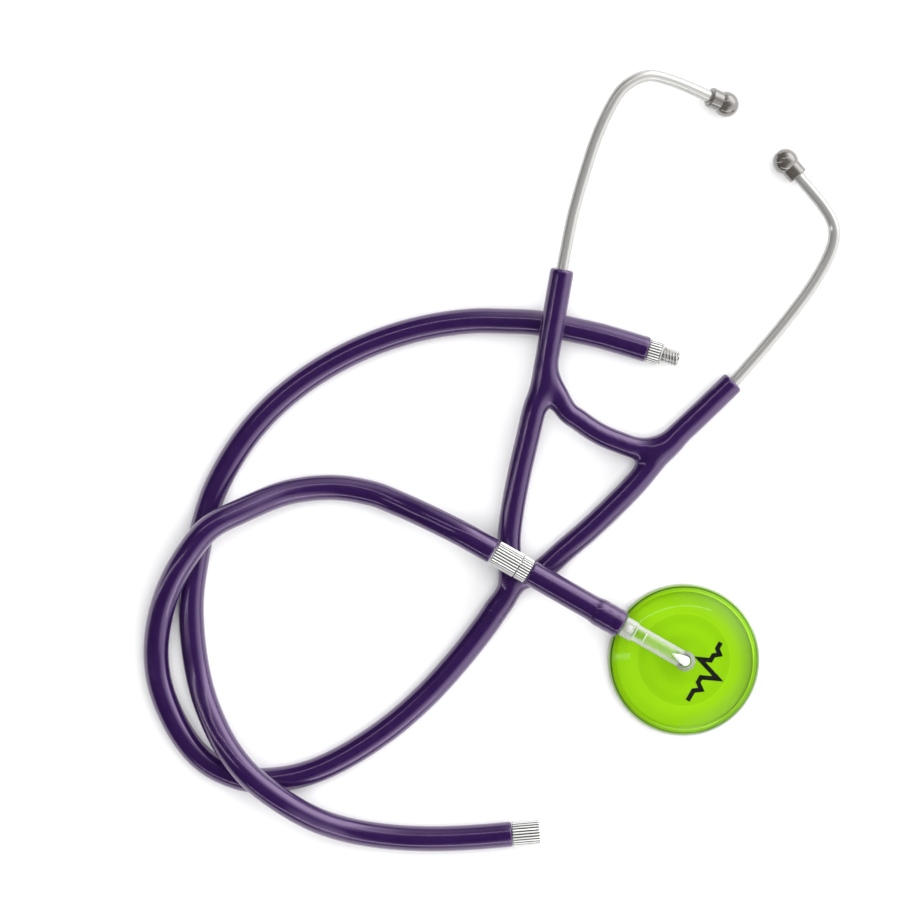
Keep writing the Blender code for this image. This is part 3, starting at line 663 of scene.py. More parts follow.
def knurl_finish():
    """Bright plated ridges, with painted shade darkening the grooves between them."""
    made, tree, shader = finish("chrome_knurl", {"Metallic": 0.35})
    split = tree.nodes.new("ShaderNodeSeparateXYZ")
    tree.links.new(coordinates(tree, "UV"), split.inputs["Vector"])
    angle = number(tree, "MULTIPLY", split.outputs["X"], 2 * math.pi * KNURL_RIDGES)
    height = spread(tree, number(tree, "COSINE", angle), 0.0, 1.0, start=-1.0, end=1.0)
    # painted shade: near black in the grooves, bright on the ridges, following the knurl's waves
    stops = [(0.25, (0.05, 0.046, 0.04)), (0.55, (0.85, 0.85, 0.83)), (1.0, (0.98, 0.98, 0.97))]
    tree.links.new(ramp(tree, height, stops), shader.inputs["Base Color"])
    uneven(tree, shader, noise(tree, 900.0), 0.16, 0.28)
    return made


def soft_grey_finish():
    """Smoky, slightly see-through rubber."""
    settings = {"Transmission Weight": 0.1, "Coat Weight": 1.0, "Coat IOR": 2.0}
    made, tree, shader = finish("soft_grey", settings)
    mottle(tree, shader, noise(tree, 300.0), (0.088, 0.077, 0.067), (0.118, 0.104, 0.091))
    uneven(tree, shader, noise(tree, 700.0), 0.05, 0.10)
    return made


def see_through(tree, gloss_most, milk_colour, milk, angles):
    """A clear polished surface. Its milkiness goes from least to most as it turns edge on."""
    facing = node_of(tree, "ShaderNodeLayerWeight", {"Blend": 0.5}).outputs["Facing"]
    clear = node_of(tree, "ShaderNodeBsdfTransparent", {"Color": (0.985, 0.99, 0.98, 1.0)})
    cloudy = node_of(tree, "ShaderNodeBsdfDiffuse", {"Color": (*milk_colour, 1.0)})
    gloss = tree.nodes.new("ShaderNodeBsdfGlossy")
    tree.links.new(spread(tree, noise(tree, 500.0), 0.02, 0.07), gloss.inputs["Roughness"])
    body = mixed(tree, spread(tree, facing, *milk, *angles), clear.outputs["BSDF"], cloudy.outputs["BSDF"])
    shine = spread(tree, number(tree, "POWER", facing, 4.0), 0.02, gloss_most, start=0.0, end=1.0)
    return mixed(tree, shine, body, gloss.outputs["BSDF"])


def clear_finish(name, gloss_most, milk_colour, milk, angles):
    made, tree, shader = finish(name, {})
    tree.links.new(see_through(tree, gloss_most, milk_colour, milk, angles), surface_of(tree))
    tree.nodes.remove(shader)
    return made


def across(tree, middle=(0.0, 0.0, 0.0)):
    """Level distance from a point of the head, in metres."""
    level = vector(tree, "MULTIPLY", coordinates(tree, "Object"), (1.0, 1.0, 0.0))
    return vector(tree, "DISTANCE", level, middle, output="Value")


def rim_share(tree):
    """0 at the head's middle and 1 at its outer edge."""
    return number(tree, "DIVIDE", across(tree), RING_RADIUS)


def painted_crescent_shade(tree, shade):
    """Painted shade: a darker crescent on the side away from the hose, standing in for the shade that the dome's edge
    throws, with a painted lighter line along its border.
    """
    away = across(tree, tuple(TOWARDS_UNION * CRESCENT_SHIFT))
    near, far = CRESCENT_RADIUS - CRESCENT_EDGE, CRESCENT_RADIUS + CRESCENT_EDGE
    share = spread(tree, away, 0.0, 1.0, start=near, end=far)
    # plain at 0, a painted lighter line at 0.4, painted shade from 0.8 on
    return ramp(tree, share, [(0.0, (1.0, 1.0, 1.0)), (0.4, (1.06, 1.04, 1.2)), (0.8, shade)])


def rim_colours(tree, shader):
    """Green with a band of painted shade inside the outer edge and the painted crescent shade, ending in a thin pale
    line at the outer edge.
    """
    stops = [
        (0.915, (0.240, 0.500, 0.003)),
        # painted shade: a darker band where the gap between lens and ring falls in shade
        (0.945, (0.165, 0.380, 0.002)),
        (0.970, (0.210, 0.450, 0.010)),
        (0.987, (0.40, 0.48, 0.32)),
        (1.0, (0.46, 0.46, 0.43)),
    ]
    # painted crescent shade, stronger here than on the print
    shade = painted_crescent_shade(tree, (0.76, 0.78, 0.8))
    colour = vector(tree, "MULTIPLY", ramp(tree, rim_share(tree), stops), shade)
    tree.links.new(colour, shader.inputs["Base Color"])
    uneven(tree, shader, noise(tree, 400.0), 0.08, 0.16)


def rim_finish():
    made, tree, shader = finish("green_rim", {"Specular IOR Level": 0.25})
    rim_colours(tree, shader)
    return made


def lens_finish():
    """Clear over the print, and green in the skirt that stands round it."""
    made, tree, shader = finish("clear_lens", {"Specular IOR Level": 0.2})
    # the skirt's green takes the rim colours, with their painted shade band and painted crescent shade
    rim_colours(tree, shader)
    clear = see_through(tree, 0.4, (0.66, 0.66, 0.64), (0.0, 0.1), (0.85, 1.0))
    skirt = number(tree, "GREATER_THAN", rim_share(tree), PRINT_EDGE_SHARE)
    tree.links.new(mixed(tree, skirt, clear, shader.outputs["BSDF"]), surface_of(tree))
    return made


def acrylic_finish(name, settings, scale, dark, light):
    made, tree, shader = finish(name, settings)
    mottle(tree, shader, noise(tree, scale), dark, light)
    return made


def print_finish():
    """Vivid green with soft rings, as moulded sheet shows, a painted highlight line at the edge of the lens's flat,
    and the painted crescent shade.
    """
    made, tree, shader = finish("green_print", {"Specular IOR Level": 0.1})
    waves = node_of(tree, "ShaderNodeTexWave", {"Scale": 38.0, "Distortion": 1.2, "Detail": 2.0})
    waves.wave_type = "RINGS"
    waves.rings_direction = "Z"
    tree.links.new(coordinates(tree, "Object"), waves.inputs["Vector"])
    rings = ramp(tree, waves.outputs["Fac"], [(0.0, (0.93, 0.94, 0.9)), (1.0, (1.0, 1.0, 1.0))])
    flat = LENS_FLAT_RADIUS / RING_RADIUS
    # painted highlight: a lighter line at the edge of the lens's flat, where its step catches the light
    stops = [
        (flat - FLAT_HIGHLIGHT_SHARE, (0.270, 0.572, 0.002)),
        (flat, (0.320, 0.640, 0.010)),
        (flat + FLAT_HIGHLIGHT_SHARE, (0.296, 0.604, 0.004)),
    ]
    colour = vector(tree, "MULTIPLY", ramp(tree, rim_share(tree), stops), rings)
    # painted crescent shade over the print
    colour = vector(tree, "MULTIPLY", colour, painted_crescent_shade(tree, (0.93, 0.95, 0.9)))
    tree.links.new(colour, shader.inputs["Base Color"])
    uneven(tree, shader, noise(tree, 400.0), 0.36, 0.48)
    return made


def plain_finish(name, dark, light, roughness, scale, metallic=0.0):
    """A mottled finish between two colours."""
    made, tree, shader = finish(name, {"Metallic": metallic})
    pattern = noise(tree, scale)
    mottle(tree, shader, pattern, dark, light)
    uneven(tree, shader, pattern, roughness * 0.8, roughness * 1.2)
    bump(tree, shader, noise(tree, scale * 3), 0.05)
    return made


HOSE = hose_finish()
CHROME = chrome_finish()
KNURL = knurl_finish()
SOFT_GREY = soft_grey_finish()
CLEAR = clear_finish("clear_acrylic", 0.25, (0.64, 0.64, 0.62), (0.02, 0.6), (0.06, 0.32))
BALL = clear_finish("clear_ball", 0.25, (0.36, 0.35, 0.34), (0.02, 0.7), (0.16, 0.4))
PASSAGE = clear_finish("drilled_acrylic", 0.1, (0.62, 0.92, 0.26), (0.2, 0.34), (0.3, 0.9))
LENS = lens_finish()
RIM = rim_finish()
SCRAPED = {"Roughness": 0.5, "IOR": 1.49}
CLOUDED = {"Roughness": 0.3, "Alpha": 0.4}
FROSTED = acrylic_finish("frosted_acrylic", SCRAPED, 2500.0, (0.88, 0.90, 0.86), (0.97, 0.98, 0.96))
MILKY = acrylic_finish("milky_acrylic", CLOUDED, 1200.0, (0.52, 0.51, 0.50), (0.72, 0.72, 0.71))
GREEN = print_finish()
INK = plain_finish("black_ink", (0.004, 0.004, 0.004), (0.008, 0.008, 0.008), 0.35, 800.0)
BELL = plain_finish("bell_plastic", (0.235, 0.535, 0.002), (0.275, 0.600, 0.003), 0.4, 500.0)
FILM = plain_finish("diaphragm_film", (0.50, 0.52, 0.50), (0.58, 0.60, 0.58), 0.3, 400.0)
SEAL = plain_finish("black_seal", (0.008, 0.008, 0.009), (0.014, 0.014, 0.015), 0.55, 900.0)
PALE_SEAL = plain_finish("pale_seal", (0.42, 0.41, 0.39), (0.52, 0.51, 0.49), 0.5, 900.0)
THREAD = plain_finish("chrome_thread", (0.55, 0.54, 0.52), (0.66, 0.66, 0.65), 0.2, 900.0, metallic=0.9)
STEEL = plain_finish("spring_steel", (0.40, 0.40, 0.41), (0.50, 0.50, 0.51), 0.35, 600.0, metallic=1.0)


# Camera and cords


def camera():
    data = bpy.data.cameras.new("camera")
    data.lens = CAMERA_LENS
    data.sensor_width = SENSOR_WIDTH
    obj = placed("camera", data)
    obj.location = (*VIEW_CENTRE, VIEW_LEVEL + VIEW_WIDTH * CAMERA_LENS / SENSOR_WIDTH)
    bpy.context.scene.camera = obj


def hose(name, route, node):
    """A hose along a route with rounded ends. Returns the piece and its centre line."""
    line = smooth_path([Vector(p) * MM for p in route], HOSE_SPACING)
    length = lengths_along(line)[-1]
    ends = HOSE_EDGE * np.array(HOSE_EDGE_STEPS)
    middle = np.arange(HOSE_END, length - HOSE_END, HOSE_SPACING)
    distances = np.concatenate([ends, middle, length - ends[::-1]])
    from_end = np.minimum(distances, length - distances)
    inset = np.clip(HOSE_EDGE - from_end, 0.0, HOSE_EDGE)
    radii = HOSE_RADIUS - HOSE_EDGE + np.sqrt(HOSE_EDGE**2 - inset**2)
    obj = piece(name, swept(name, at_distances(line, distances), radii, sides=40), HOSE)
    return settle(obj, "root", "purple_hose", node), line


def free_hoses():
    main, line = hose("main_hose", MAIN_ROUTE, "main_tube")
    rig.cord(main, exit=line[0], length=MAIN_LENGTH, diameter=2 * HOSE_RADIUS, far_end="object", path=line)
    extension, line = hose("extension_hose", EXTENSION_ROUTE, "extension_tube")
    plug_way = Vector(line[0] - line[1]).normalized()
    socket_way = Vector(line[-1] - line[-2]).normalized()
    plug_face = Vector(line[0]) + plug_way * (GAP + COLLAR_LENGTH)
    mouth = Vector(line[-1]) + socket_way * (GAP + SOCKET_LENGTH)
    plug_piece = plug("extension_plug_fine", plug_face, plug_way, "root", "extension_plug")
    socket_piece = socket("extension_socket_fine", mouth, socket_way, "root", "extension_socket")
    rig.cord(
        extension,
        exit=line[0],
        length=EXTENSION_LENGTH,
        diameter=2 * HOSE_RADIUS,
        far_end="connector",
        path=line,
        with_pieces=[plug_piece, socket_piece, frame["nodes"]["extension_seal"]],
    )


# Threaded unions


def knurl_ridge(angle):
    """Height of the knurl from 0 in a groove to 1 on a ridge."""
    wave = 0.5 + 0.5 * math.cos(KNURL_RIDGES * angle)
    return min(1.0, max(0.0, (wave - KNURL_FLOOR) / KNURL_FLANK))


def knurled(top_radius):
    """Cuts straight grooves into a wall of that radius and leaves smaller radii alone."""
    floor = top_radius - KNURL_DEPTH

    def shape(radius, height, angle):
        return min(radius, floor + KNURL_DEPTH * knurl_ridge(angle))

    return shape


def thread_ridge(height, angle):
    """Height of the thread from 0 at its root to 1 at its crest."""
    turns = THREAD_STARTS * (height / THREAD_LEAD - angle / (2 * math.pi))
    return 0.5 - 0.5 * math.cos(2 * math.pi * turns)


def union_half(mesh, threaded, body, node):
    obj = piece(mesh.name, mesh, KNURL)
    refinish(obj, THREAD, threaded)
    return settle(obj, body, "chrome", node)


def socket(name, mouth, outwards, body, node):
    """The female half of a union: knurled outside, threaded inside. Height 0 is its mouth."""
    bore = SPIGOT_RADIUS + GAP
    edge = UNION_EDGE
    profile = [
        *arc((bore + edge, -edge), edge, 180.0, 90.0, steps=3),
        *rounded_wall(SOCKET_RADIUS, 0.0, -SOCKET_LENGTH, edge),
        (UNION_BORE_RADIUS, -SOCKET_LENGTH),
        (UNION_BORE_RADIUS, -SPIGOT_LENGTH - GAP),
        *[(bore, h) for h in steps_between(-SPIGOT_LENGTH - GAP, -2 * edge, THREAD_STEPS)],
    ]
    cut = knurled(SOCKET_RADIUS)

    def shape(radius, height, angle):
        if radius == bore and height > -SPIGOT_LENGTH:
            return radius + THREAD_DEPTH * thread_ridge(height, angle)
        return cut(radius, height, angle)

    mesh = turned(name, profile, mouth, outwards, KNURL_SIDES, shape=shape)
    return union_half(mesh, within(mouth, outwards, bore + THREAD_DEPTH), body, node)


def plug(name, face, towards_socket, body, node):
    """The male half of a union: a knurled collar and a threaded spigot. Height 0 is the collar's face."""
    edge = UNION_EDGE
    root = SPIGOT_RADIUS - THREAD_DEPTH
    thread = steps_between(SPIGOT_LENGTH - edge, SPIGOT_RELIEF, THREAD_STEPS)
    profile = [
        (UNION_BORE_RADIUS, SPIGOT_LENGTH - edge),
        (UNION_BORE_RADIUS + edge / 2, SPIGOT_LENGTH),
        (root, SPIGOT_LENGTH),
        *[(SPIGOT_RADIUS, h) for h in thread],
        (root, SPIGOT_RELIEF - edge),
        (root, 0.0),
        *rounded_wall(COLLAR_RADIUS, 0.0, -COLLAR_LENGTH, edge),
        (UNION_BORE_RADIUS, -COLLAR_LENGTH),
    ]
    cut = knurled(COLLAR_RADIUS)

    def shape(radius, height, angle):
        if radius == SPIGOT_RADIUS:
            return root + THREAD_DEPTH * thread_ridge(height, angle)
        return cut(radius, height, angle)

    mesh = turned(name, profile, face, towards_socket, KNURL_SIDES, shape=shape)
    return union_half(mesh, within(face, towards_socket, SPIGOT_RADIUS), body, node)


def along_stem(distance):
    return STEM_POINT + TOWARDS_UNION * distance


def union():
    face = STEM_REACH + CHEST_HOSE_LENGTH + COLLAR_LENGTH
    plug("chest_plug_fine", along_stem(face), TOWARDS_UNION, "chest_lead", "chest_plug")
    socket("main_socket_fine", along_stem(face + GAP), -TOWARDS_UNION, "root", "main_socket")


# Headset


def over(plan, point, normal):
    """The point of a plane over a table point given in millimetres."""
    x, y = plan[0] * MM, plan[1] * MM
    return Vector((x, y, point.z - (normal.x * (x - point.x) + normal.y * (y - point.y)) / normal.z))


def arm_hinge(side):
    return joint_point(f"{side}_arm_spread")


def on_headset(plan):
    return over(plan, arm_hinge("left"), joint_axis("left_arm_spread"))


def distance_to_bar(points, line, radii):
    """How far each point is from the surface of a bar whose radius varies along its line."""
    best = np.full(len(points), np.inf)
    for a, b, near, far in zip(line, line[1:], radii, radii[1:]):
        along = b - a
        share = np.clip((points - a) @ along / (along @ along), 0.0, 1.0)
        away = np.linalg.norm(points - a - share[:, None] * along, axis=1)
        best = np.minimum(best, away - near - (far - near) * share)
    return best


def melt(a, b, reach):
    """The smaller of two distances, rounded where they are close."""
    share = np.clip(0.5 + 0.5 * (b - a) / reach, 0.0, 1.0)
    return b * (1.0 - share) + a * share - reach * share * (1.0 - share)


def tapered(line, radius, start, end):
    """Radii along a line, thinned towards the ends that lie inside another bar."""
    lengths = lengths_along(line)
    radii = np.full(len(line), radius)
    for wanted, distance in ((start, lengths), (end, lengths[-1] - lengths)):
        if wanted:
            rise = np.sin(np.clip(distance / SKIN_TAPER, 0.0, 1.0) * math.pi / 2)
            radii = np.minimum(radii, SKIN_ROOT_RADIUS + (radius - SKIN_ROOT_RADIUS) * rise)
    return radii


def sleeve_end(side):
    """Where the rubber sleeve of a side ends, and its direction there."""
    name = f"{side}_ear_tube_turn"
    return joint_point(name), joint_axis(name)


def skin_bars():
    """The moulded arms as (centre line, radii): left, right and cross bar."""
    left_hinge, right_hinge = arm_hinge("left"), arm_hinge("right")
    left_top, right_top = sleeve_end("left")[0], sleeve_end("right")[0]
    left = [left_top, left_top.lerp(left_hinge, 0.5), left_hinge]
    left += [on_headset(p) for p in (*LEFT_LOWER_ARM, YOKE_JOIN, YOKE_STUB[0])]
    left += [HOSE_START, HOSE_START + HOSE_WAY * SKIN_OVERLAP]
    right = [right_top, right_top.lerp(right_hinge, 0.5), right_hinge]
    right += [on_headset(p) for p in (*RIGHT_LOWER_ARM, YOKE_JOIN)]
    bar = [left_hinge.lerp(left_top, SKIN_BAR_SHARE), *[on_headset(p) for p in CROSSBAR]]
    bar += [right_hinge, right_hinge.lerp(right_top, SKIN_BAR_SHARE)]
    left, right, bar = [smooth_path(route, SKIN_SPACING) for route in (left, right, bar)]
    to_end = lengths_along(left)[-1] - lengths_along(left)
    swell = np.clip(1.0 - to_end / SKIN_TAPER, 0.0, 1.0)
    return [
        (left, ARM_RADIUS + (HOSE_RADIUS + SKIN_LAP - ARM_RADIUS) * swell),
        (right, tapered(right, ARM_RADIUS, start=False, end=True)),
        (bar, tapered(bar, CROSSBAR_RADIUS, start=True, end=True)),
    ]


def skin_distance(points, bars):
    """Signed distance of points from the moulded surface."""
    depth, *others = [distance_to_bar(points, line, radii) for line, radii in bars]
    for other in others:
        depth = melt(depth, other, SKIN_FILLET)
    ends = [
        (*sleeve_end("left"), ARM_EDGE),
        (*sleeve_end("right"), ARM_EDGE),
        (HOSE_START + HOSE_WAY * SKIN_OVERLAP, HOSE_WAY, SKIN_END_EDGE),
    ]
    for point, outwards, edge in ends:
        beyond = (points - np.array(point)) @ np.array(outwards)
        depth = -melt(-depth, -beyond, edge)
    return depth


def remeshed(meshes):
    """One mesh that follows the outside of several, made of even squares."""
    joined = bmesh.new()
    for mesh in meshes:
        joined.from_mesh(mesh)
    obj = placed("joined", mesh_of("joined", joined))
    modifier = obj.modifiers.new("voxels", "REMESH")
    modifier.mode = "VOXEL"
    modifier.voxel_size = SKIN_VOXEL
    smooth = obj.modifiers.new("smooth", "SMOOTH")
    smooth.iterations = SKIN_FIRST_SMOOTHINGS
    graph = bpy.context.evaluated_depsgraph_get()
    made = bpy.data.meshes.new_from_object(obj.evaluated_get(graph))
    bpy.data.objects.remove(obj, do_unlink=True)
    return made


def skin_slope(points, depth, bars):
    """Gradient of the skin's distance at each point."""
    moved = [skin_distance(points + axis * SKIN_SLOPE_STEP, bars) for axis in np.eye(3)]
    return np.stack([(other - depth) / SKIN_SLOPE_STEP for other in moved], axis=1)


def skin_mesh(bars):
    """The moulded surface: a rough one of even squares, drawn onto the exact one and smoothed."""
    mesh = remeshed([swept("bar", line, radii, sides=24) for line, radii in bars])
    points = np.zeros(len(mesh.vertices) * 3)
    mesh.vertices.foreach_get("co", points)
    points = points.reshape(-1, 3)
    for _ in range(SKIN_DRAWS):
        depth = skin_distance(points, bars)
        slopes = skin_slope(points, depth, bars)
        steepness = np.maximum((slopes**2).sum(axis=1), SKIN_LEAST_STEEPNESS)
        points = points - slopes * (depth / steepness)[:, None]
    mesh.vertices.foreach_set("co", points.ravel())
    shape = bmesh.new()
    shape.from_mesh(mesh)
    ways = {"use_axis_x": True, "use_axis_y": True, "use_axis_z": True}
    for _ in range(SKIN_SMOOTHINGS):
        bmesh.ops.smooth_vert(shape, verts=shape.verts, factor=0.5, **ways)
    return shape


def cut_loose(shape, point, normal):
    """Cuts the arm at a point right through, with its two sides apart."""
    near = [f for f in shape.faces if (f.calc_center_median() - point).length < SKIN_CUT_REACH]
    edges = dict.fromkeys(e for f in near for e in f.edges)
    verts = dict.fromkeys(v for f in near for v in f.verts)
    made = bmesh.ops.bisect_plane(
        shape, geom=[*verts, *edges, *near], plane_co=point, plane_no=normal, dist=SKIN_CUT_TOLERANCE
    )
    cut = [g for g in made["geom_cut"] if isinstance(g, bmesh.types.BMEdge)]
    bmesh.ops.split_edges(shape, edges=cut)


def islands(shape):
    """Groups of faces that hang together."""
    seen = set()
    for first in shape.faces:
        if first in seen:
            continue
        seen.add(first)
        group = [first]
        for face in group:
            beside = [other for edge in face.edges for other in edge.link_faces if other not in seen]
            seen.update(beside)
            group += dict.fromkeys(beside)
        yield group


def yoke_skin():
    """The moulded rubber of yoke and arms: a piece that bends at each hinge, and the rest."""
    bars = skin_bars()
    left, right, bar = [line for line, radii in bars]
    hinges = {side: arm_hinge(side) for side in ("left", "right")}
    shape = skin_mesh(bars)
    for side, line in (("left", left), ("left", bar), ("right", right), ("right", bar)):
        cut_loose(shape, *cut_place(line, hinges[side]))
    for faces in islands(shape):
        centres = [f.calc_center_median() for f in faces]
        side = next((s for s in hinges if min((c - hinges[s]).length for c in centres) < SKIN_BEND), None)
        if side:
            obj = skin_piece(f"{side}_arm_skin", faces, f"{side}_arm")
            bend = sleeve_end(side)[1] * SKIN_BEND
            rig.blend(obj, "root", f"{side}_arm", hinges[side] - bend, hinges[side] + bend)
        else:
            low = min(c.y for c in centres) < HOSE_START.y
            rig.ride(skin_piece("yoke_skin" if low else "crossbar_skin", faces, "yoke"), "root")
    shape.free()


def skin_piece(name, faces, node):
    obj = piece(name, island_mesh(name, faces), HOSE)
    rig.slot(obj, "purple_hose")
    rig.replaces(obj, node)
    return obj


def cut_place(line, hinge):
    """Where a line is one cut length below the hinge, and its direction there."""
    away = np.linalg.norm(line - np.array(hinge), axis=1)
    nearest = int(np.argmin(away))
    far = [i for i in range(len(line)) if away[i] > SKIN_CUT]
    if away[0] < away[-1]:
        index = next(i for i in far if i > nearest)
    else:
        index = next(i for i in reversed(far) if i < nearest)
    way = Vector(line[index + 1] - line[index - 1]).normalized()
    return Vector(line[index]), way


def island_mesh(name, faces):
    """A closed smooth mesh of some faces of a larger one."""
    shape = bmesh.new()
    copies = {}
    for face in faces:
        corners = []
        for vert in face.verts:
            if vert not in copies:
                copies[vert] = shape.verts.new(vert.co)
            corners.append(copies[vert])
        shape.faces.new(corners).smooth = True
    open_edges = [e for e in shape.edges if e.is_boundary]
    bmesh.ops.holes_fill(shape, edges=open_edges, sides=0)
    bmesh.ops.recalc_face_normals(shape, faces=shape.faces)
    mesh = mesh_of(name, shape)
    mesh.set_sharp_from_angle(angle=math.radians(SKIN_SHARP_DEGREES))
    return mesh


def ear_side(side, tube_plan, seat_plan):
    """The bent tube and the soft tip of one side."""
    hinge = arm_hinge(side)
    top, sleeve = sleeve_end(side)
    tip_axis = joint_axis(f"{side}_ear_tip_pull")
    normal = sleeve.cross(tip_axis)
    seat = over(seat_plan, hinge, normal)
    route = [
        top - sleeve * EAR_TUBE_GRIP,
        top - sleeve * EAR_TUBE_GRIP / 2,
        top,
        top + sleeve * EAR_TUBE_RUN_OUT,
        *[over(p, hinge, normal) for p in tube_plan],
        seat,
        seat + tip_axis * TIP_GRIP,
    ]
    line = smooth_path(route, EAR_TUBE_SPACING)
    name = f"{side}_ear_tube_fine"
    obj = piece(name, swept(name, line, np.full(len(line), EAR_TUBE_RADIUS), sides=36), CHROME)
    settle(obj, f"{side}_ear_tube", "chrome", f"{side}_ear_tube")
    ear_tip(side, seat, tip_axis)


def ear_tip(side, seat, axis):
    """A soft tip: a bulb with a hole through it on a short round base."""
    lip = TIP_MOUTH_RADIUS + TIP_MOUTH_EDGE
    mouth = math.degrees(math.acos(lip / TIP_BULB_RADIUS))
    neck = math.degrees(math.acos(TIP_BASE_RADIUS / TIP_BULB_RADIUS))
    mouth_height = TIP_BULB_DISTANCE + TIP_BULB_RADIUS * math.sin(math.radians(mouth))
    bore = EAR_TUBE_RADIUS + GAP / 2
    profile = [
        (TIP_MOUTH_RADIUS, mouth_height - TIP_MOUTH_EDGE),
        *arc((0.0, TIP_BULB_DISTANCE), TIP_BULB_RADIUS, mouth, -neck, steps=28),
        *[(TIP_BASE_RADIUS, h) for h in steps_between(TIP_BASE_HIGH, TIP_BASE_LOW, 2)],
        *arc((TIP_BASE_RADIUS - TIP_BASE_EDGE, TIP_BASE_EDGE), TIP_BASE_EDGE, 0.0, -90.0),
        (bore, 0.0),
        (bore, TIP_GRIP + GAP),
        (TIP_MOUTH_RADIUS, TIP_GRIP + GAP),
    ]
    name = f"{side}_ear_tip_fine"
    obj = piece(name, turned(name, profile, seat, axis, sides=64), SOFT_GREY)
    settle(obj, f"{side}_ear_tip", "soft_grey", f"{side}_ear_tip")


# Chestpiece


def barb_heights():
    return [STEM_REACH + BARB_PITCH * (i + 0.5) for i in range(BARB_COUNT)]


def chest_hose():
    """The short hose, which swells over each barb of the stem."""
    far = STEM_REACH + CHEST_HOSE_LENGTH - GAP

    def radius_at(height):
        swell = sum(math.exp(-(((height - ridge) / BULGE_SPREAD) ** 2)) for ridge in barb_heights())
        return HOSE_RADIUS + HOSE_BULGE * math.tanh(swell)

    near_radius = radius_at(STEM_REACH + HOSE_EDGE)
    profile = [
        (BARB_RIDGE_RADIUS, STEM_REACH),
        *arc((near_radius - HOSE_EDGE, STEM_REACH + HOSE_EDGE), HOSE_EDGE, -90.0, 0.0)[:-1],
        *[(radius_at(h), h) for h in steps_between(STEM_REACH + HOSE_EDGE, far - HOSE_EDGE, 90)],
        *arc((HOSE_RADIUS - HOSE_EDGE, far - HOSE_EDGE), HOSE_EDGE, 0.0, 90.0)[1:],
        (UNION_BORE_RADIUS, far),
        (BARB_RIDGE_RADIUS, STEM_REACH + BARB_PITCH * (BARB_COUNT + 1)),
    ]
    mesh = turned("chest_hose", profile, STEM_POINT, TOWARDS_UNION, sides=48)
    settle(piece("chest_hose", mesh, HOSE), "chest_lead", "purple_hose", "chest_tube")


def rod(radius, start, end):
    return [(0.0, start), (radius, start), (radius, end), (0.0, end)]


def stem():
    """The clear stem with its ball, collar and barbs, on the neck that joins it to the head."""
    collar_end = STEM_REACH - GAP
    collar_start = collar_end - STEM_COLLAR_LENGTH
    ball_end = math.degrees(math.acos(STEM_RADIUS / BALL_RADIUS))
    profile = [
        (0.0, -BALL_RADIUS),
        *arc((0.0, 0.0), BALL_RADIUS, -90.0, ball_end, steps=16)[1:],
        *[(STEM_RADIUS, h) for h in steps_between(1.5 * BALL_RADIUS, collar_start - STEM_EDGE, 4)],
        *rounded_wall(STEM_COLLAR_RADIUS, collar_start, collar_end, STEM_EDGE, steps=4),
    ]
    for i in range(BARB_COUNT):
        start = STEM_REACH + BARB_PITCH * i
        profile += [(BARB_ROOT_RADIUS, start), (BARB_RIDGE_RADIUS, start + BARB_PITCH / 4)]
    end = STEM_REACH + BARB_PITCH * BARB_COUNT
    profile += [(BARB_ROOT_RADIUS, end), (0.0, end)]
    mesh = turned("stem_fine", profile, STEM_POINT, TOWARDS_UNION, sides=48, wrap=False)
    obj = piece("stem_fine", mesh, CLEAR)
    refinish(obj, BALL, lambda at: (at - STEM_POINT).length <= BALL_RADIUS)
    settle(obj, "chestpiece", "clear_acrylic", "stem")
    neck = rod(NECK_RADIUS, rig.box("stem")[0].z, STEM_POINT.z - NECK_RADIUS)
    stem_detail("stem_neck", neck, CLEAR, TABLE, UP)


def stem_detail(name, profile, material, origin=STEM_POINT, axis=TOWARDS_UNION):
    """A turned piece of the stem that stands in or under the clear rod."""
    obj = piece(name, turned(name, profile, origin, axis, sides=40, wrap=False), material)
    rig.ride(obj, "chestpiece")
    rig.slot(obj, "clear_acrylic")


def stem_details():
    """The drilled passage, its frosted end in the ball, and the frosted band in the collar."""
    wide, end = PASSAGE_RADIUS, PASSAGE_END
    stem_detail("stem_passage", rod(wide, PASSAGE_START, end), PASSAGE)
    stem_detail("stem_passage_end", rod(wide, end, end + STEM_EDGE), FROSTED)
    drilled = [(0.0, -wide), *arc((0.0, 0.0), wide, -90.0, 20.0, steps=12)[1:]]
    rim, shoulder = drilled[-1]
    for share in steps_between(0.05, 1.0, 12):
        drilled.append((rim * (1.0 - share**DRILL_POWER), shoulder + (DRILL_TIP - shoulder) * share))
    stem_detail("stem_drill_end", drilled, FROSTED)
    band_end = STEM_REACH - 2 * GAP
    band_start = STEM_REACH - STEM_COLLAR_LENGTH + GAP
    radius = STEM_COLLAR_RADIUS - 2 * GAP
    wall = rounded_wall(radius, band_start, band_end, 2 * STEM_EDGE)
    stem_detail("stem_collar_band", [(0.0, band_start), *wall, (0.0, band_end)], MILKY)
    blob = arc((0.0, band_start + BLOB_DISTANCE), BLOB_RADIUS, -90.0, 90.0, steps=16)
    stem_detail("stem_collar_blob", blob, FROSTED)


def dome_point(share, top, radius):
    width = radius - LENS_EDGE - LENS_FLAT_RADIUS
    return (LENS_FLAT_RADIUS + width * share, top - (top - LENS_SHOULDER) * share**LENS_DOME_POWER)


def head_piece(node, profile, material, slot, sides=HEAD_SIDES, wrap=True):
    """A turned piece of the head in place of one node."""
    name = f"{node}_fine"
    obj = piece(name, turned(name, profile, TABLE, UP, sides, wrap), material)
    settle(obj, "chestpiece", slot, node)


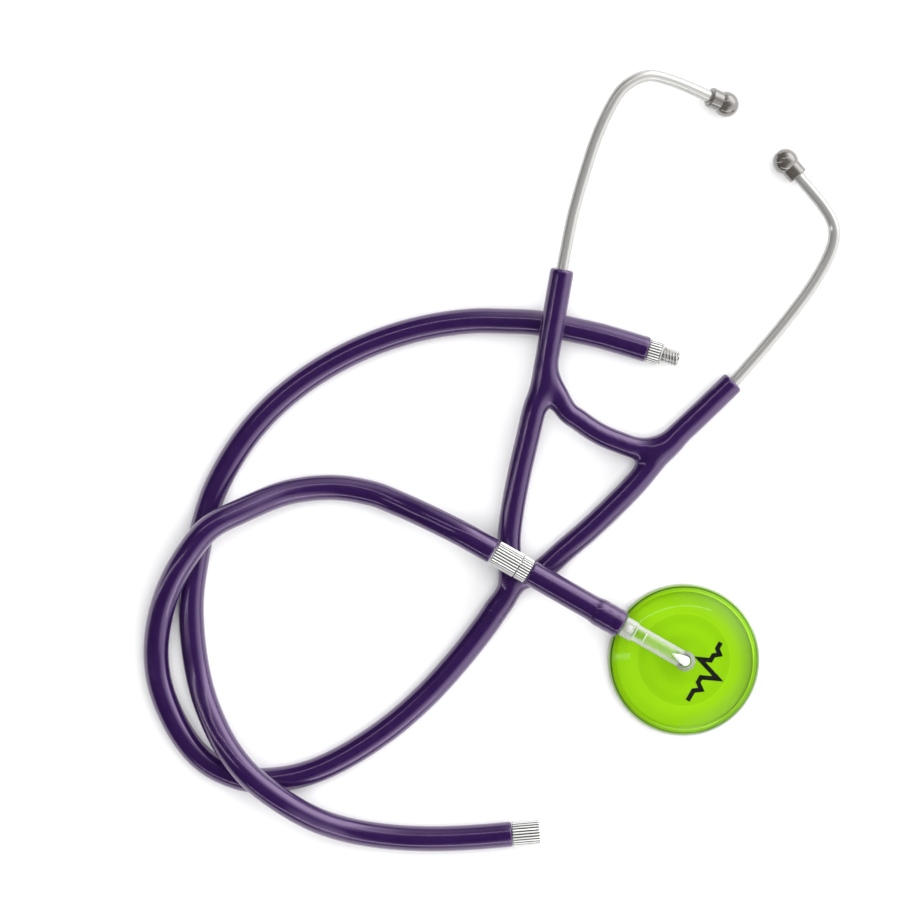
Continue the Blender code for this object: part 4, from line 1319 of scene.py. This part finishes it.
def head():
    """The domed lens over the print, and the ring, bell and diaphragm under them."""
    low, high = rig.box("head_lens")
    disc_low, disc_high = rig.box("print_disc")
    radius = high.x
    recess = disc_high.z + GAP
    inside = radius - LENS_SKIRT_WALL
    hole = NECK_RADIUS + GAP
    lens = [
        (hole, high.z),
        *[(r, high.z) for r in steps_between(LENS_MIDDLE_RADIUS, LENS_FLAT_RADIUS, 4)],
        *[dome_point(s, high.z, radius) for s in steps_between(0.04, 1.0, 24)],
        *arc((radius - LENS_EDGE, LENS_SHOULDER - LENS_EDGE), LENS_EDGE, 80.0, 0.0),
        (radius, low.z),
        (inside, low.z),
        (inside, recess),
        (hole, recess),
    ]
    head_piece("head_lens", lens, LENS, "clear_acrylic")
    disc = [
        *[(r, disc_high.z) for r in steps_between(hole, disc_high.x, 12)],
        (disc_high.x, disc_low.z),
        (hole, disc_low.z),
    ]
    head_piece("print_disc", disc, GREEN, "green_print")
    trace(disc_high.z)
    retaining_ring()
    bell(hole)
    diaphragm()


def stroke_outline(points, width):
    """The outline of a flat stroke of even width along some points, with mitred corners."""
    left, right = [], []
    for i, point in enumerate(points):
        before = (point - points[i - 1]).normalized() if i else (points[1] - point).normalized()
        after = (points[i + 1] - point).normalized() if i + 1 < len(points) else before
        along = (before + after).normalized()
        offset = Vector((-along.y, along.x)) * (width / 2) / max(MITRE_LEAST, along.dot(before))
        left.append(point + offset)
        right.append(point - offset)
    return left + right[::-1]


def trace(level):
    """A black pulse trace printed on the disc, on the side away from the hose."""
    out = -TOWARDS_UNION.xy
    side = Vector((-out.y, out.x))
    points = [(side * s + out * t) * MM for s, t in PULSE_TRACE]
    outline = stroke_outline(points, TRACE_WIDTH)
    shape = bmesh.new()
    bottom = shape.faces.new([shape.verts.new((p.x, p.y, level + TRACE_LIFT)) for p in outline])
    raised = bmesh.ops.extrude_face_region(shape, geom=[bottom])
    top = [v for v in raised["geom"] if isinstance(v, bmesh.types.BMVert)]
    bmesh.ops.translate(shape, verts=top, vec=UP * TRACE_THICKNESS)
    bmesh.ops.recalc_face_normals(shape, faces=shape.faces)
    obj = piece("pulse_trace", mesh_of("pulse_trace", shape), INK)
    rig.ride(obj, "chestpiece")
    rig.slot(obj, "green_print")


def retaining_ring():
    low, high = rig.box("retaining_ring")
    inside = high.x - RING_WALL
    lip_top = low.z + RING_LIP_THICKNESS
    ring = [
        (inside, high.z),
        *rounded_wall(high.x, high.z, low.z, RING_WALL / 2),
        (RING_LIP_RADIUS, low.z),
        (RING_LIP_RADIUS, lip_top),
        (inside, lip_top),
    ]
    head_piece("retaining_ring", ring, RIM, "clear_acrylic")


def bell(hole):
    low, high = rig.box("bell_insert")
    hub_bottom = high.z - BELL_HUB

    def cup(share):
        radius = BELL_MOUTH_RADIUS + (BELL_THROAT_RADIUS - BELL_MOUTH_RADIUS) * share
        return (radius, low.z + (hub_bottom - low.z) * share**BELL_POWER)

    profile = [
        (hole, high.z),
        (high.x, high.z),
        (high.x, low.z),
        (BELL_MOUTH_RADIUS, low.z),
        *[cup(share) for share in steps_between(0.1, 1.0, 8)],
        (hole, hub_bottom),
    ]
    head_piece("bell_insert", profile, BELL, "bell_plastic", HIDDEN_SIDES)


def diaphragm():
    low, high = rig.box("diaphragm")
    inner, outer = FILM_TRAY_RADIUS - FILM_THICKNESS, FILM_TRAY_RADIUS + FILM_FLARE
    flange = high.z - FILM_THICKNESS
    floor_radii = [0.0, *steps_between(FILM_MIDDLE_RADIUS, inner, 5)]
    profile = [
        *[(r, low.z + FILM_THICKNESS) for r in floor_radii],
        (outer - FILM_THICKNESS, high.z),
        (high.x, high.z),
        (high.x, flange),
        (outer, flange),
        (FILM_TRAY_RADIUS, low.z),
        *[(r, low.z) for r in reversed(floor_radii)],
    ]
    head_piece("diaphragm", profile, FILM, "diaphragm_film", HIDDEN_SIDES, wrap=False)


# Hidden nodes, floor and light


def dress_hidden_nodes():
    for name, material in (("leaf_spring", STEEL), ("union_seal", SEAL), ("extension_seal", PALE_SEAL)):
        node = frame["nodes"][name]
        node.data.materials.clear()
        node.data.materials.append(material)


def floor():
    shape = bmesh.new()
    bmesh.ops.create_grid(shape, x_segments=2, y_segments=2, size=FLOOR_SIZE)
    settings = {"Roughness": 0.9, "Base Color": (0.98, 0.98, 0.98, 1.0), "Specular IOR Level": 0.0}
    obj = piece("floor", mesh_of("floor", shape), finish("white_floor", settings)[0])
    obj.location.z = cad_box[0][2]
    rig.stage(obj)


def soft_lamp(name, at, width, height, power, glossy=True):
    """A soft box that faces the middle of the object."""
    data = bpy.data.lights.new(name, "AREA")
    data.shape = "RECTANGLE"
    data.size = width
    data.size_y = height
    data.energy = power
    obj = placed(name, data)
    obj.location = at
    target = Vector((*VIEW_CENTRE, 0.0))
    obj.rotation_euler = (Vector(at) - target).to_track_quat("Z", "Y").to_euler()
    obj.visible_camera = False
    obj.visible_glossy = glossy


def glow(tree, direction, stops):
    """A light patch of the surround, by how near a direction is to its middle."""
    middle = Vector(direction).normalized()
    nearness = vector(tree, "DOT_PRODUCT", coordinates(tree, "Generated"), middle, output="Value")
    return ramp(tree, nearness, [(at, (level, level, level)) for at, level in stops])


def light():
    """Bright patches at the right, thin strips at the other sides, and a surround that is dark overhead."""
    soft_lamp("overhead", (-0.09, 0.08, 2.6), 2.6, 2.6, 64.0, glossy=False)
    soft_lamp("front_strip", (-0.1, -1.25, 0.6), 2.4, 0.12, 4.0)
    soft_lamp("back_strip", (-0.2, 1.1, 1.7), 2.0, 0.12, 3.0)
    soft_lamp("left_strip", (-1.35, 0.0, 0.6), 0.12, 2.0, 2.5)
    world = bpy.data.worlds.new("studio")
    world.use_nodes = True
    tree = world.node_tree
    broad = glow(tree, BROAD_SIDE, [(0.5, 0.006), (0.7, 0.25), (0.8, 0.45), (0.9, 1.0)])
    fill = glow(tree, FILL_SIDE, [(0.6, 0.0), (0.8, 0.3), (0.95, 0.5)])
    background = preset(tree.nodes["Background"], {"Strength": SURROUND_STRENGTH})
    tree.links.new(vector(tree, "ADD", broad, fill), background.inputs["Color"])
    bpy.context.scene.world = world
    bpy.context.scene.view_settings.view_transform = "Standard"


camera()
free_hoses()
union()
yoke_skin()
ear_side("left", LEFT_EAR_TUBE, LEFT_TIP_SEAT)
ear_side("right", RIGHT_EAR_TUBE, RIGHT_TIP_SEAT)
chest_hose()
stem()
stem_details()
head()
dress_hidden_nodes()
floor()
light()

visual_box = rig.bounds()
with open("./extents.json", "w") as out:
    json.dump({"cad": [list(corner) for corner in cad_box], "visual": [list(corner) for corner in visual_box]}, out)
